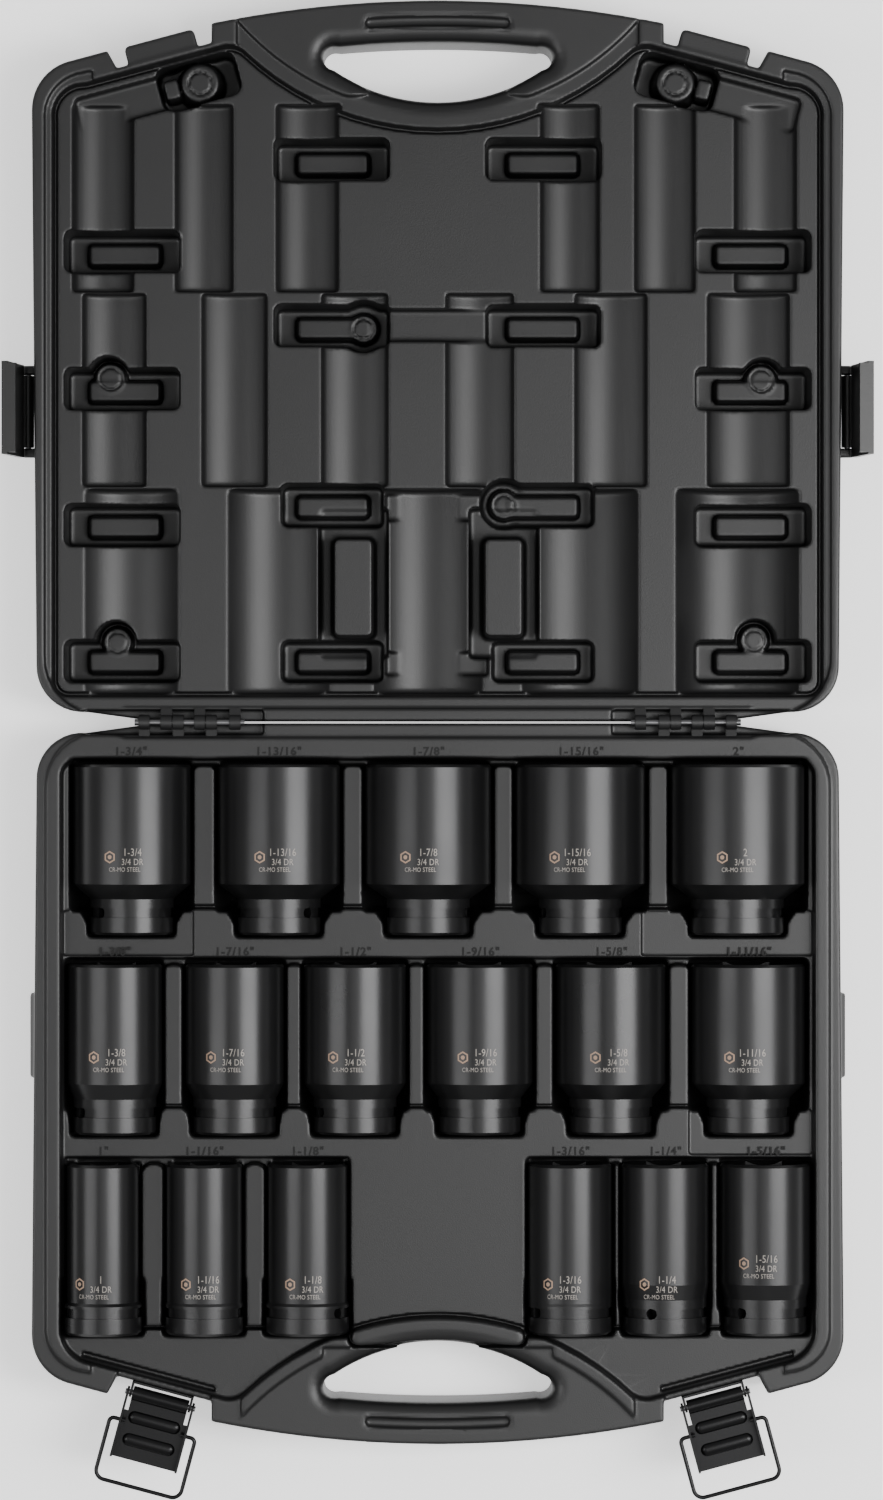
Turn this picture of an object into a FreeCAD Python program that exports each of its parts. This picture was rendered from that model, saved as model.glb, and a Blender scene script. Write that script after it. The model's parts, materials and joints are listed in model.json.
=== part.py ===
import FreeCAD, Part
import math
import os

# Deep impact socket set in a blow-moulded carrying case, millimetres, +Z up.
# The case lies open and flat: the base half towards -Y, the lid half towards +Y.
# The origin is the middle of the base's rest face.
# Both halves share one plan, written as (u, v): u runs along X from the middle,
# and v is the distance from the hinge line, towards the handle.

# ---- driving dimensions -------------------------------------------------------
INCH = 25.4
HALF_DEPTH = 50.0            # outer face to parting plane, each half
RIM_GAP = 0.5                # between the two rims when the case is shut
HINGE_Y = 191.0              # hinge line, from the middle of the base
HINGE_Z = HALF_DEPTH + RIM_GAP / 2
EDGE_V = 0.6                 # half the gap between the two hinge edges
SIDE_U = 212.0               # half width at the hinge end
SIDE_U_FAR = 214.5           # half width at the handle end
HANDLE_V = 381.3             # outer edge of the handle at the middle
HANDLE_R = 601.0
CASE_EDGE_R = 4.0            # round along the outer bottom edge

END_WALL_ANGLE = 15.0        # the two latch walls slant by this much in plan
END_WALL_U = 169.5           # where the latch wall starts, beside the corner
END_WALL_V = 345.6
END_WALL_THICKNESS = 3.3
HANDLE_END_U = 119.5         # where the handle leaves the latch wall

FINGER_V_IN = 328.3          # finger hole: edge nearest the hinge, at the middle
FINGER_R_IN = 98.9
FINGER_V_OUT = 359.5
FINGER_U_OUT = 52.0          # ends of the two arcs, and the bulge between them
FINGER_U_IN = 55.0
FINGER_END = (60.5, 352.4)
GRIP_V = 370.5               # shallow slot along the handle bar
GRIP_LENGTH = 72.0
GRIP_WIDTH = 6.0
GRIP_DEPTH = 2.0
ARCH_V = 314.0               # arched wall round the finger hole, at the middle
ARCH_R = 148.0

LIP_HEIGHT = 1.6             # registration lip on the base, which enters the lid
LIP_U = 207.0
LIP_FIT = 0.5                # clearance beside and above the lip
ARCH_LIP_WIDTH = 7.4
ARCH_LIP_SPANS = [(-103.0, -60.5), (-43.0, 43.0), (60.5, 103.0)]
ARCH_LIP_END_V = 360.0
ARCH_GROOVE_U = 106.0        # the lid groove that takes the lips runs a little further
ARCH_GROOVE_END_V = 362.0
BASE_TRAY_U = 199.0          # half width of the sunken tray inside the rim
BASE_TRAY_V = 19.6
BASE_TRAY_Z = 44.0
LID_TRAY_U = 203.8
LID_TRAY_V = 13.2
LID_TRAY_Z = 43.0

SOCKET_LENGTH = 90.0
ROW_PITCH = 105.5
FIRST_ROW_V = 22.3           # mouth of the row next to the hinge
SOCKET_TOP_Z = 63.0          # tops are level, unless the socket would be too deep
SOCKET_FLOOR_Z = 5.0
BODY_OD_1IN = 38.0           # outside diameter of the 1 in socket's body
BODY_OD_PER_INCH = 33.0      # growth of the body per inch of size
DRIVE_OD = 44.0
DRIVE_OD_SMALL = 41.0
DRIVE_OD_LARGE = 49.0
DRIVE_SQUARE = 19.3
DRIVE_DEPTH = 27.0
GROOVE_FROM_END = 9.2
GROOVE_WIDTH = 5.0
GROOVE_DEPTH = 1.3
PIN_HOLE_R = 2.9
HEX_DEPTH = 32.4
HEX_FIT = 0.3                # hexagon over the nominal size, across flats
LEAD_IN = 2.6                # radial growth of the cone at the mouth
LEAD_IN_DEPTH = 3.0
SHOULDER_V = 63.0            # where a large socket's body starts to narrow
SHOULDER_LENGTH = 8.0
CHAMFER = 1.4
POCKET_FIT = 0.8
MOUTH_GAP = 2.7              # room before a socket's mouth
BODY_POCKET_LENGTH = 77.5    # wide part of a base pocket, from the socket's mouth
DRIVE_POCKET_START = 70.0
LID_POCKET_GAP = 4.0         # room at both ends of a socket in the lid

# node name, size in inches, row counted from the hinge, middle of the socket in u,
# turn of the retaining-pin hole about the socket's axis in degrees
SOCKETS = [
    ("socket_1_3_4in", 1.7500, 0, -162.0, -50),
    ("socket_1_13_16in", 1.8125, 0, -84.0, 48),
    ("socket_1_7_8in", 1.8750, 0, -5.0, 75),
    ("socket_1_15_16in", 1.9375, 0, 75.5, -70),
    ("socket_2in", 2.0000, 0, 158.7, 80),
    ("socket_1_3_8in", 1.3750, 1, -171.0, -55),
    ("socket_1_7_16in", 1.4375, 1, -107.5, -85),
    ("socket_1_1_2in", 1.5000, 1, -43.8, -60),
    ("socket_1_9_16in", 1.5625, 1, 22.3, 90),
    ("socket_1_5_8in", 1.6250, 1, 91.7, -80),
    ("socket_1_11_16in", 1.6875, 1, 164.5, 85),
    ("socket_1in", 1.0000, 2, -177.0, 82),
    ("socket_1_1_16in", 1.0625, 2, -123.5, 78),
    ("socket_1_1_8in", 1.1250, 2, -68.9, 52),
    ("socket_1_3_16in", 1.1875, 2, 70.0, -58),
    ("socket_1_1_4in", 1.2500, 2, 120.3, -22),
    ("socket_1_5_16in", 1.3125, 2, 173.5, -40),
]

TACK_LENGTH = 62.0           # deep slots that tie the lid's two walls together
TACK_WIDTH = 22.6
TACK_FLOOR_LENGTH = 38.0
TACK_FLOOR_WIDTH = 10.0
TACK_FLOOR_Z = 7.0
TACKS = [(side * 167.0, v) for side in (-1, 1) for v in (32.3, 104.4, 176.5, 249.3)]
TACKS += [(side * 56.0, v) for side in (-1, 1) for v in (32.3, 115.0, 210.1, 298.0)]
# slanted hollow inside each lid corner, along and out of the latch wall: x0, x1, y0, y1
CORNER_TROUGH = (-52.0, 24.0, -27.5, -9.5)
CORNER_WELL = (0.0, 38.0, -27.0, -7.0)
CORNER_POCKET_Z = 33.0
CORNER_DISC = (14.0, -17.5)
CORNER_DISC_R = 10.5
CORNER_DISC_Z = 24.0
LINK_POCKET = (-27.0, 27.0, 202.0, 218.5)     # channel between two slots: u0, u1, v0, v1
LINK_DEPTH = 12.0

KNUCKLE_R = 4.0
HINGE_PIN_R = 1.7
RUNNING_FIT = 0.05
HINGE_RECESS_V = 6.4
HINGE_START_U = 92.0
HINGE_END_U = 186.0         # the recess runs out where the corner starts
HINGE_PIN_ENDS = (102.0, 160.0)
# knuckles of one hinge: start and end along u, and the half that carries it
KNUCKLES = [
    (104.0, 110.0, "lid"), (116.5, 122.4, "base"), (122.7, 128.5, "lid"),
    (134.0, 139.9, "base"), (140.2, 146.3, "lid"), (152.0, 157.8, "base"),
]

LATCH_U = 145.0              # middle of each latch along the slanted wall
LATCH_PIVOT_Z = 45.9
LATCH_PIVOT_OUT = 6.2        # lever pin, out from the wall
LATCH_WALL_Z = 46.5          # the wall is lower here, so that the bail folds over it
BRACKET_SHEET = 1.2
WALL_FIT = 0.1               # between the bracket and the wall
BRACKET_LOW_Z = 22.0
BRACKET_EYE_R = 2.6
BRACKET_EAR_DROP = 9.0       # the ears reach this far under the pin
RIVETS = [(-10.0, 29.0), (10.0, 29.0)]
RIVET_R = 1.6
RIVET_DOME_R = 3.2
RIVET_HEAD = 1.2
LEVER_WIDTH = 36.6
LEVER_LENGTH = 35.0
LEVER_SHEET = 1.2
LEVER_FLANGE = 7.0
LEVER_HUB_R = 3.0
LEVER_CURL_R = 3.8           # rolled edge of the plate, round the pin between the ears
LEVER_PIN_R = 1.5
LEVER_DROP = 3.0             # the plate lies this far under the pin
LEVER_PLATE_START = 9.8      # the full-width plate starts this far from the pin
LEVER_RIBS = [12.6, 24.6]
LEVER_RIB_R = 2.2
BAIL_OUT = 15.0              # bail pivot, along the lever from its pin
BAIL_RISE = 2.0              # bail pivot above the lever pin
BAIL_LEG = 33.0
BAIL_FOOT_R = 2.5            # small bend between foot and leg
BAIL_SPAN = 46.6             # between the middles of the two legs
WIRE_R = 1.1
BAIL_BEND_R = 5.0
CATCH_WIDTH = 38.0           # lid tab that the bail pulls down on
CATCH_REACH = 9.6
CATCH_HEIGHT = 11.9
CATCH_CORNER_R = 2.5

CLIP_V = 165.5               # middle of each side clip
CLIP_LENGTH = 49.0
CLIP_SHEET = 3.0
CLIP_PIVOT_Z = 20.0
CLIP_PIVOT_OUT = 5.0
CLIP_TOP_Z = 66.0
CLIP_HOOK = 4.5
CLIP_LEAN = 9.0              # the open clip leans out by this much
CLIP_PIN_R = 1.6
CLIP_EAR = 5.0
CLIP_BARREL_R = 3.2
CLIP_HOOK_SHEET = 3.4
LEDGE_REACH = 2.6            # ledge on the base that the clip hooks under
LEDGE_LOW_Z = 39.5
LEDGE_FACE = 2.0
LEDGE_TOP_Z = 45.0

X_AXIS = FreeCAD.Vector(1, 0, 0)
Y_AXIS = FreeCAD.Vector(0, 1, 0)
Z_AXIS = FreeCAD.Vector(0, 0, 1)


# ---- small helpers --------------------------------------------------------------
def point(x, y, z=0.0):
    return FreeCAD.Vector(x, y, z)


def box(x0, x1, y0, y1, z0, z1):
    return Part.makeBox(x1 - x0, y1 - y0, z1 - z0, point(x0, y0, z0))


def rod(radius, start, end):
    run = end.sub(start)
    return Part.makeCylinder(radius, run.Length, start, run)


def fuse(shapes):
    return shapes[0].multiFuse(shapes[1:]).removeSplitter()


def chain_edges(start, steps, side):
    """Edges along one side of a plan. A step is (end,) or (point on the arc, end)."""
    edges = []
    at = point(side * start[0], start[1])
    for step in steps:
        ends = [point(side * u, v) for u, v in step]
        if len(ends) == 1:
            edges.append(Part.LineSegment(at, ends[0]).toShape())
        else:
            edges.append(Part.Arc(at, ends[0], ends[1]).toShape())
        at = ends[-1]
    return edges


def symmetric_solid(start, steps, z0, z1):
    """Extrude the plan whose right side is given and whose left side mirrors it."""
    edges = chain_edges(start, steps, 1) + chain_edges(start, steps, -1)
    wire = Part.Wire(Part.sortEdges(edges)[0])
    wire.translate(point(0, 0, z0))
    return Part.Face(wire).extrude(point(0, 0, z1 - z0))


def arc_v(u, apex, radius):
    """v on an arc whose middle is at apex. A negative radius curves to the hinge."""
    sag = abs(radius) - math.sqrt(radius ** 2 - u ** 2)
    return apex + math.copysign(sag, radius)


def wall_v(u):
    """v of the slanted latch wall's outer face."""
    return END_WALL_V + (END_WALL_U - u) * math.tan(math.radians(END_WALL_ANGLE))


def to_base(shape):
    """From the common plan to the base half: v runs towards -Y."""
    return shape.mirror(point(0, 0, 0), Y_AXIS).translated(point(0, HINGE_Y, 0))


def to_lid(shape):
    return shape.translated(point(0, HINGE_Y, 0))


def mirrored(shape, side):
    """The shape for the right side (1), or its mirror image for the left (-1)."""
    return shape if side > 0 else shape.mirror(point(0, 0, 0), X_AXIS)


def beside_latch(shape, side):
    """From the latch's own axes to the common plan of a half.

    Its own axes: x along the slanted wall, y out of the wall, z up.
    """
    placed = shape.rotated(point(0, 0, 0), Z_AXIS, END_WALL_ANGLE)
    return mirrored(placed.translated(point(-LATCH_U, wall_v(LATCH_U), 0)), -side)


def to_latch(shape, side):
    return to_base(beside_latch(shape, side))


# ---- case halves ----------------------------------------------------------------
def outer_steps():
    return [
        ((150.0, EDGE_V),),
        ((186.0, 5.5),),
        ((205.0, 12.6), (SIDE_U, 30.0)),
        ((SIDE_U_FAR, 323.0),),
        ((208.0, 341.0), (193.0, 349.7)),
        ((174.5, 354.7),),
        ((END_WALL_U, END_WALL_V),),
        ((HANDLE_END_U, wall_v(HANDLE_END_U)),),
        ((HANDLE_END_U, arc_v(HANDLE_END_U, HANDLE_V, -HANDLE_R)),),
        ((HANDLE_END_U / 2, arc_v(HANDLE_END_U / 2, HANDLE_V, -HANDLE_R)), (0.0, HANDLE_V)),
    ]


def tray_steps(side_u, hinge_v):
    """The sunken tray: its end follows the latch walls and arches round the hand."""
    def inner_v(u):
        return wall_v(u) - END_WALL_THICKNESS

    return [
        ((side_u - 8.0, hinge_v),),
        ((side_u - 2.3, hinge_v + 2.3), (side_u, hinge_v + 8.0)),
        ((side_u, 320.0),),
        ((side_u - 3.0, 331.5), (187.0, inner_v(187.0)),),
        ((114.0, inner_v(114.0)),),
        ((108.7, 358.2), (103.0, arc_v(103.0, ARCH_V, ARCH_R))),
        ((55.0, arc_v(55.0, ARCH_V, ARCH_R)), (0.0, ARCH_V)),
    ]


def finger_hole():
    def outer(u):
        return (u, arc_v(u, FINGER_V_OUT, -HANDLE_R))

    def inner(u):
        return (u, arc_v(u, FINGER_V_IN, FINGER_R_IN))

    steps = [
        (outer(FINGER_U_OUT / 2), outer(FINGER_U_OUT)),
        (FINGER_END, inner(FINGER_U_IN)),
        (inner(FINGER_U_IN / 2), inner(0.0)),
    ]
    return symmetric_solid(outer(0.0), steps, -1.0, HALF_DEPTH + 1.0)


def lip_solid(grow, z0, z1):
    """The registration lip's plan, grown by a fit, over the given heights."""
    steps = [
        ((165.0, 8.0 - grow),),
        ((199.0, 14.0 - grow), (LIP_U + grow, 36.0)),
        ((LIP_U + grow, 318.0),),
        ((203.0 + grow, 333.0), (190.0, 342.0 + grow)),
        ((183.0 - grow, 343.4 + grow),),
        ((183.0 - grow, 330.0),),
        ((0.0, 330.0),),
    ]
    return symmetric_solid((0.0, 8.0 - grow), steps, z0, z1)


def arch_ring(width, z0, z1):
    """Band of the given width on the handle side of the arched wall."""
    middle = ARCH_V + ARCH_R
    outer = Part.makeCylinder(ARCH_R, z1 - z0, point(0, middle, z0))
    inner = Part.makeCylinder(ARCH_R - width, z1 - z0, point(0, middle, z0))
    return outer.cut(inner)


def arch_lips(z0, z1):
    """Three raised lips along the arch, with gaps between them."""
    ring = arch_ring(ARCH_LIP_WIDTH, z0, z1)
    return [ring.common(box(u0, u1, 0.0, ARCH_LIP_END_V, z0, z1)) for u0, u1 in ARCH_LIP_SPANS]


def half_blank():
    """Closed block of one half: outer plan, rounded bottom edge and finger hole."""
    block = symmetric_solid((0.0, EDGE_V), outer_steps(), 0.0, HALF_DEPTH)
    bottom = [e for e in block.Edges if e.BoundBox.ZMax < 0.01]
    return block.makeFillet(CASE_EDGE_R, bottom).cut(finger_hole())


def hinge_recesses():
    floor = HINGE_Z - 2 * KNUCKLE_R
    recess = box(HINGE_START_U, HINGE_END_U, -1.0, HINGE_RECESS_V, floor, HALF_DEPTH + 5.0)
    return [mirrored(recess, side) for side in (-1, 1)]


def knuckles(half):
    """This half's hinge knuckles, each with a web back to the recess wall."""
    parts = []
    for side in (-1, 1):
        for start, end, owner in KNUCKLES:
            if owner != half:
                continue
            u0, u1 = sorted((side * start, side * end))
            barrel = rod(KNUCKLE_R, point(u0, 0, HINGE_Z), point(u1, 0, HINGE_Z))
            web = box(u0, u1, 0.0, HINGE_RECESS_V + 1.0, HINGE_Z - KNUCKLE_R, HALF_DEPTH - 0.2)
            bore = rod(HINGE_PIN_R + RUNNING_FIT, point(u0 - 1, 0, HINGE_Z), point(u1 + 1, 0, HINGE_Z))
            parts.append(barrel.fuse(web).cut(bore))
    return parts


def grip_slot():
    """Shallow slot along the inside of the handle bar."""
    low, high = HALF_DEPTH - GRIP_DEPTH, HALF_DEPTH + 1.0
    half_width = GRIP_WIDTH / 2
    half_length = GRIP_LENGTH / 2
    bar = box(-half_length, half_length, GRIP_V - half_width, GRIP_V + half_width, low, high)
    ends = [rod(half_width, point(end * half_length, GRIP_V, low), point(end * half_length, GRIP_V, high))
            for end in (-1, 1)]
    return fuse([bar] + ends)


# ---- sockets --------------------------------------------------------------------
def body_radius(size):
    return (BODY_OD_1IN + BODY_OD_PER_INCH * (size - 1.0)) / 2


def drive_radius(size):
    if size <= 1.0625:
        return DRIVE_OD_SMALL / 2
    if size >= 2.0:
        return DRIVE_OD_LARGE / 2
    return DRIVE_OD / 2


def axis_z(size):
    """Height of a socket's axis: level tops, but never under the lowest floor."""
    radius = body_radius(size)
    return max(SOCKET_TOP_Z - radius, SOCKET_FLOOR_Z + radius)


def mouth_v(row):
    return FIRST_ROW_V + row * ROW_PITCH


def socket_profile(body_r, drive_r):
    """Radius along the axis, from the mouth at 0 to the drive end."""
    groove_end = SOCKET_LENGTH - GROOVE_FROM_END
    groove_start = groove_end - GROOVE_WIDTH
    if body_r > drive_r + 1.0:
        shoulder = [(SHOULDER_V, body_r), (SHOULDER_V + SHOULDER_LENGTH, drive_r)]
    else:
        shoulder = [(groove_start - 3.0, body_r), (groove_start - 1.5, drive_r)]
    mouth = [(0.0, body_r - CHAMFER), (CHAMFER, body_r)]
    drive = [
        (groove_start, drive_r), (groove_start, drive_r - GROOVE_DEPTH),
        (groove_end, drive_r - GROOVE_DEPTH), (groove_end, drive_r),
        (SOCKET_LENGTH - CHAMFER, drive_r), (SOCKET_LENGTH, drive_r - CHAMFER),
    ]
    return mouth + shoulder + drive


def hexagon(across_flats, y0, y1):
    corner = across_flats / 2 / math.cos(math.radians(30))
    corners = [(corner * math.cos(math.radians(60 * k)), corner * math.sin(math.radians(60 * k)))
               for k in range(7)]
    wire = Part.makePolygon([point(x, y0, z) for x, z in corners])
    return Part.Face(wire).extrude(point(0, y1 - y0, 0))


def make_socket(size, pin_turn):
    """One socket on the Y axis, its mouth at 0 and its drive end at SOCKET_LENGTH."""
    body_r, drive_r = body_radius(size), drive_radius(size)
    profile = [(0.0, 0.0)] + [(r, y) for y, r in socket_profile(body_r, drive_r)] + [(0.0, SOCKET_LENGTH)]
    wire = Part.makePolygon([point(r, y) for r, y in profile + profile[:1]])
    solid = Part.Face(wire).revolve(point(0, 0, 0), Y_AXIS, 360)
    flats = size * INCH + HEX_FIT
    bore_r = flats / 2 - 0.2
    bore_end = SOCKET_LENGTH - DRIVE_DEPTH
    half_square = DRIVE_SQUARE / 2
    lead_in = Part.makeCone(flats / 2 + LEAD_IN, flats / 2 - 0.4, LEAD_IN_DEPTH, point(0, -0.01, 0), Y_AXIS)
    pin_hole = rod(PIN_HOLE_R, point(0, 0, 0), point(0, 0, body_r * 2))
    pin_hole.rotate(point(0, 0, 0), Y_AXIS, pin_turn)
    pin_hole.translate(point(0, SOCKET_LENGTH - GROOVE_FROM_END - GROOVE_WIDTH / 2, 0))
    return solid.cut([
        hexagon(flats, -1.0, HEX_DEPTH),
        rod(bore_r, point(0, HEX_DEPTH - 1.0, 0), point(0, bore_end, 0)),
        box(-half_square, half_square, bore_end - 1.0, SOCKET_LENGTH + 1.0, -half_square, half_square),
        lead_in,
        pin_hole,
    ])


def socket_room(size, row, u, half):
    """Room that a socket takes in one half, in that half's own height."""
    body_r, drive_r = body_radius(size), drive_radius(size)
    axis = axis_z(size)
    start = mouth_v(row)
    end = start + SOCKET_LENGTH
    if half == "lid":
        height = 2 * HINGE_Z - axis
        radius = max(body_r, drive_r) + POCKET_FIT + 0.2
        return [rod(radius, point(u, start - LID_POCKET_GAP, height), point(u, end + LID_POCKET_GAP, height))]
    spans = [
        (body_r + POCKET_FIT, start - MOUTH_GAP, start + BODY_POCKET_LENGTH),
        (drive_r + POCKET_FIT, start + DRIVE_POCKET_START, end + 1.0),
    ]
    room = []
    for radius, v0, v1 in spans:
        room.append(rod(radius, point(u, v0, axis), point(u, v1, axis)))
        room.append(box(u - radius, u + radius, v0, v1, axis, HALF_DEPTH + 10.0))
    return room


# ---- case halves, finished --------------------------------------------------------
def latch_notch(side):
    """Lowered stretch of the latch wall, under the folded bail."""
    half = BAIL_SPAN / 2 + 2.0
    notch = box(-half, half, -END_WALL_THICKNESS - 1.0, 2.0, LATCH_WALL_Z, HALF_DEPTH + 5.0)
    return beside_latch(notch, side)


def base_shell():
    body = half_blank()
    body = fuse([body, lip_solid(0.0, HALF_DEPTH - 1.0, HALF_DEPTH + LIP_HEIGHT)]
                + arch_lips(HALF_DEPTH - 1.0, HALF_DEPTH + LIP_HEIGHT))
    tray = symmetric_solid((0.0, BASE_TRAY_V), tray_steps(BASE_TRAY_U, BASE_TRAY_V),
                           BASE_TRAY_Z, HALF_DEPTH + 5.0)
    room = [tray, grip_slot()] + hinge_recesses() + [latch_notch(side) for side in (-1, 1)]
    for _, size, row, u, _ in SOCKETS:
        room += socket_room(size, row, u, "base")
    return to_base(fuse([body.cut(room)] + knuckles("base") + clip_ledges()))


def tack_slot(u, v):
    """Tapered slot that reaches almost to the lid's outer wall."""
    def ring(length, width, z):
        corners = [(-1, -1), (1, -1), (1, 1), (-1, 1), (-1, -1)]
        return Part.makePolygon([point(u + a * length / 2, v + b * width / 2, z) for a, b in corners])

    return Part.makeLoft([ring(TACK_FLOOR_LENGTH, TACK_FLOOR_WIDTH, TACK_FLOOR_Z),
                          ring(TACK_LENGTH, TACK_WIDTH, LID_TRAY_Z + 1.0)], True, True)


def corner_hollow(side):
    """Slanted hollow inside a lid corner, deep beside the disc."""
    top = LID_TRAY_Z + 1.0
    trough = box(*CORNER_TROUGH, CORNER_POCKET_Z, top)
    well = box(*CORNER_WELL, TACK_FLOOR_Z, top)
    disc = rod(CORNER_DISC_R, point(*CORNER_DISC, TACK_FLOOR_Z - 1.0), point(*CORNER_DISC, CORNER_DISC_Z))
    return beside_latch(fuse([trough, well.cut(disc)]), side)


def catch_tab(side):
    """Tab on the lid that the wire bail pulls down on."""
    tab = box(-CATCH_WIDTH / 2, CATCH_WIDTH / 2, -1.0, CATCH_REACH, HALF_DEPTH - CATCH_HEIGHT, HALF_DEPTH)
    corners = [e for e in tab.Edges if abs(e.BoundBox.ZLength - CATCH_HEIGHT) < 0.01 and e.BoundBox.YMin > 0]
    return beside_latch(tab.makeFillet(CATCH_CORNER_R, corners), side)


def lid_shell():
    ledge_z = HALF_DEPTH + RIM_GAP - LIP_HEIGHT - 1.0
    tray = symmetric_solid((0.0, LID_TRAY_V), tray_steps(LID_TRAY_U, LID_TRAY_V),
                           LID_TRAY_Z, HALF_DEPTH + 5.0)
    room = [
        tray,
        lip_solid(LIP_FIT, ledge_z, HALF_DEPTH + 5.0),
        arch_ring(ARCH_LIP_WIDTH + LIP_FIT, ledge_z, HALF_DEPTH + 5.0).common(
            box(-ARCH_GROOVE_U, ARCH_GROOVE_U, 0.0, ARCH_GROOVE_END_V, ledge_z, HALF_DEPTH + 5.0)),
        box(*LINK_POCKET, LID_TRAY_Z - LINK_DEPTH, HALF_DEPTH),
        grip_slot(),
    ]
    room += hinge_recesses()
    room += [tack_slot(u, v) for u, v in TACKS]
    room += [corner_hollow(side) for side in (-1, 1)]
    for _, size, row, u, _ in SOCKETS:
        room += socket_room(size, row, u, "lid")
    extras = knuckles("lid") + [catch_tab(side) for side in (-1, 1)] + clip_mounts()
    return to_lid(fuse([half_blank().cut(room)] + extras))


# ---- hinge pins ---------------------------------------------------------------------
def hinge_pin(side):
    start, end = HINGE_PIN_ENDS
    pin = rod(HINGE_PIN_R, point(start, 0, HINGE_Z), point(end, 0, HINGE_Z))
    return to_base(mirrored(pin, side))


# ---- latches ------------------------------------------------------------------------
def latch_bracket(side):
    """Steel plate on the wall, with two ears that carry the lever's pin."""
    half = LEVER_WIDTH / 2 - LEVER_SHEET - 0.4
    out, height = LATCH_PIVOT_OUT, LATCH_PIVOT_Z
    parts = [box(-half, half, WALL_FIT, WALL_FIT + BRACKET_SHEET, BRACKET_LOW_Z, height)]
    for end in (-1, 1):
        x0, x1 = sorted((end * half, end * (half - BRACKET_SHEET)))
        parts.append(box(x0, x1, WALL_FIT, out, height - BRACKET_EAR_DROP, height + BRACKET_EYE_R))
        parts.append(rod(BRACKET_EYE_R, point(x0, out, height), point(x1, out, height)))
    bore = rod(LEVER_PIN_R, point(-half - 1, out, height), point(half + 1, out, height))
    holes = [rod(RIVET_R, point(x, -1, z), point(x, 2, z)) for x, z in RIVETS]
    return to_latch(fuse(parts).cut([bore] + holes), side)


def latch_rivets(side):
    """Two domed rivets through the bracket into the wall."""
    outer = WALL_FIT + BRACKET_SHEET
    rivets = []
    for x, z in RIVETS:
        shank = rod(RIVET_R, point(x, WALL_FIT, z), point(x, outer, z))
        dome = Part.makeSphere(RIVET_DOME_R, point(x, outer + RIVET_HEAD - RIVET_DOME_R, z))
        reach = 2 * RIVET_DOME_R
        head = dome.common(box(x - reach, x + reach, outer, outer + reach, z - reach, z + reach))
        rivets.append(shank.fuse(head))
    return to_latch(Part.makeCompound(rivets), side)


def lever_pin(side):
    half = LEVER_WIDTH / 2 + 0.8
    ends = [point(end * half, LATCH_PIVOT_OUT, LATCH_PIVOT_Z) for end in (-1, 1)]
    return to_latch(rod(LEVER_PIN_R, *ends), side)


def lever_plate():
    """The lever's web: full width, then a narrower neck between the ears that rolls round the pin."""
    half = LEVER_WIDTH / 2
    neck = half - 2 * LEVER_SHEET - 0.8
    low, top = -LEVER_DROP, LEVER_SHEET - LEVER_DROP
    parts = [
        box(-half, half, LEVER_PLATE_START, LEVER_LENGTH, low, top),
        box(-neck, neck, 0.0, LEVER_PLATE_START + 1.0, low, top),
        rod(LEVER_CURL_R, point(-neck, 0, 0), point(neck, 0, 0)),
    ]
    for y in LEVER_RIBS:
        rib = rod(LEVER_RIB_R, point(5.0 - half, y, low), point(half - 5.0, y, low))
        parts.append(rib.common(box(-half, half, 0, LEVER_LENGTH, low, 0)))
    return parts


def latch_lever(side):
    """Channel-shaped lever, raised level: its flanges stand up and two ribs cross it."""
    half = LEVER_WIDTH / 2
    parts = lever_plate()
    for end in (-1, 1):
        x0, x1 = sorted((end * half, end * (half - LEVER_SHEET)))
        parts.append(box(x0, x1, 0.0, LEVER_LENGTH, -LEVER_DROP, LEVER_FLANGE - LEVER_DROP))
        parts.append(rod(LEVER_HUB_R, point(x0, 0, 0), point(x1, 0, 0)))
    pin_bore = rod(LEVER_PIN_R + RUNNING_FIT, point(-half - 1, 0, 0), point(half + 1, 0, 0))
    bail_bore = rod(WIRE_R + RUNNING_FIT, point(-half - 1, BAIL_OUT, BAIL_RISE),
                    point(half + 1, BAIL_OUT, BAIL_RISE))
    lever = fuse(parts).cut([pin_bore, bail_bore])
    return to_latch(lever.translated(point(0, LATCH_PIVOT_OUT, LATCH_PIVOT_Z)), side)


def bend(corner, towards_start, towards_end, radius):
    """Quarter bend that rounds a right-angled corner of a wire's middle line."""
    start = corner.add(towards_start * radius)
    end = corner.add(towards_end * radius)
    middle = corner.add((towards_start + towards_end) * radius * (1 - math.sqrt(0.5)))
    return Part.Arc(start, middle, end).toShape()


def bail_side(end):
    """Middle line of one side of the bail: foot, small bend, leg and large bend."""
    half = BAIL_SPAN / 2
    foot = LEVER_WIDTH / 2 - LEVER_SHEET - 2.0
    low, high = point(end * half, 0), point(end * half, BAIL_LEG)
    inward = X_AXIS * -end
    return [
        Part.LineSegment(point(end * foot, 0), low.add(inward * BAIL_FOOT_R)).toShape(),
        bend(low, inward, Y_AXIS, BAIL_FOOT_R),
        Part.LineSegment(low.add(Y_AXIS * BAIL_FOOT_R), high.sub(Y_AXIS * BAIL_BEND_R)).toShape(),
        bend(high, Y_AXIS * -1, inward, BAIL_BEND_R),
    ]


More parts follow.
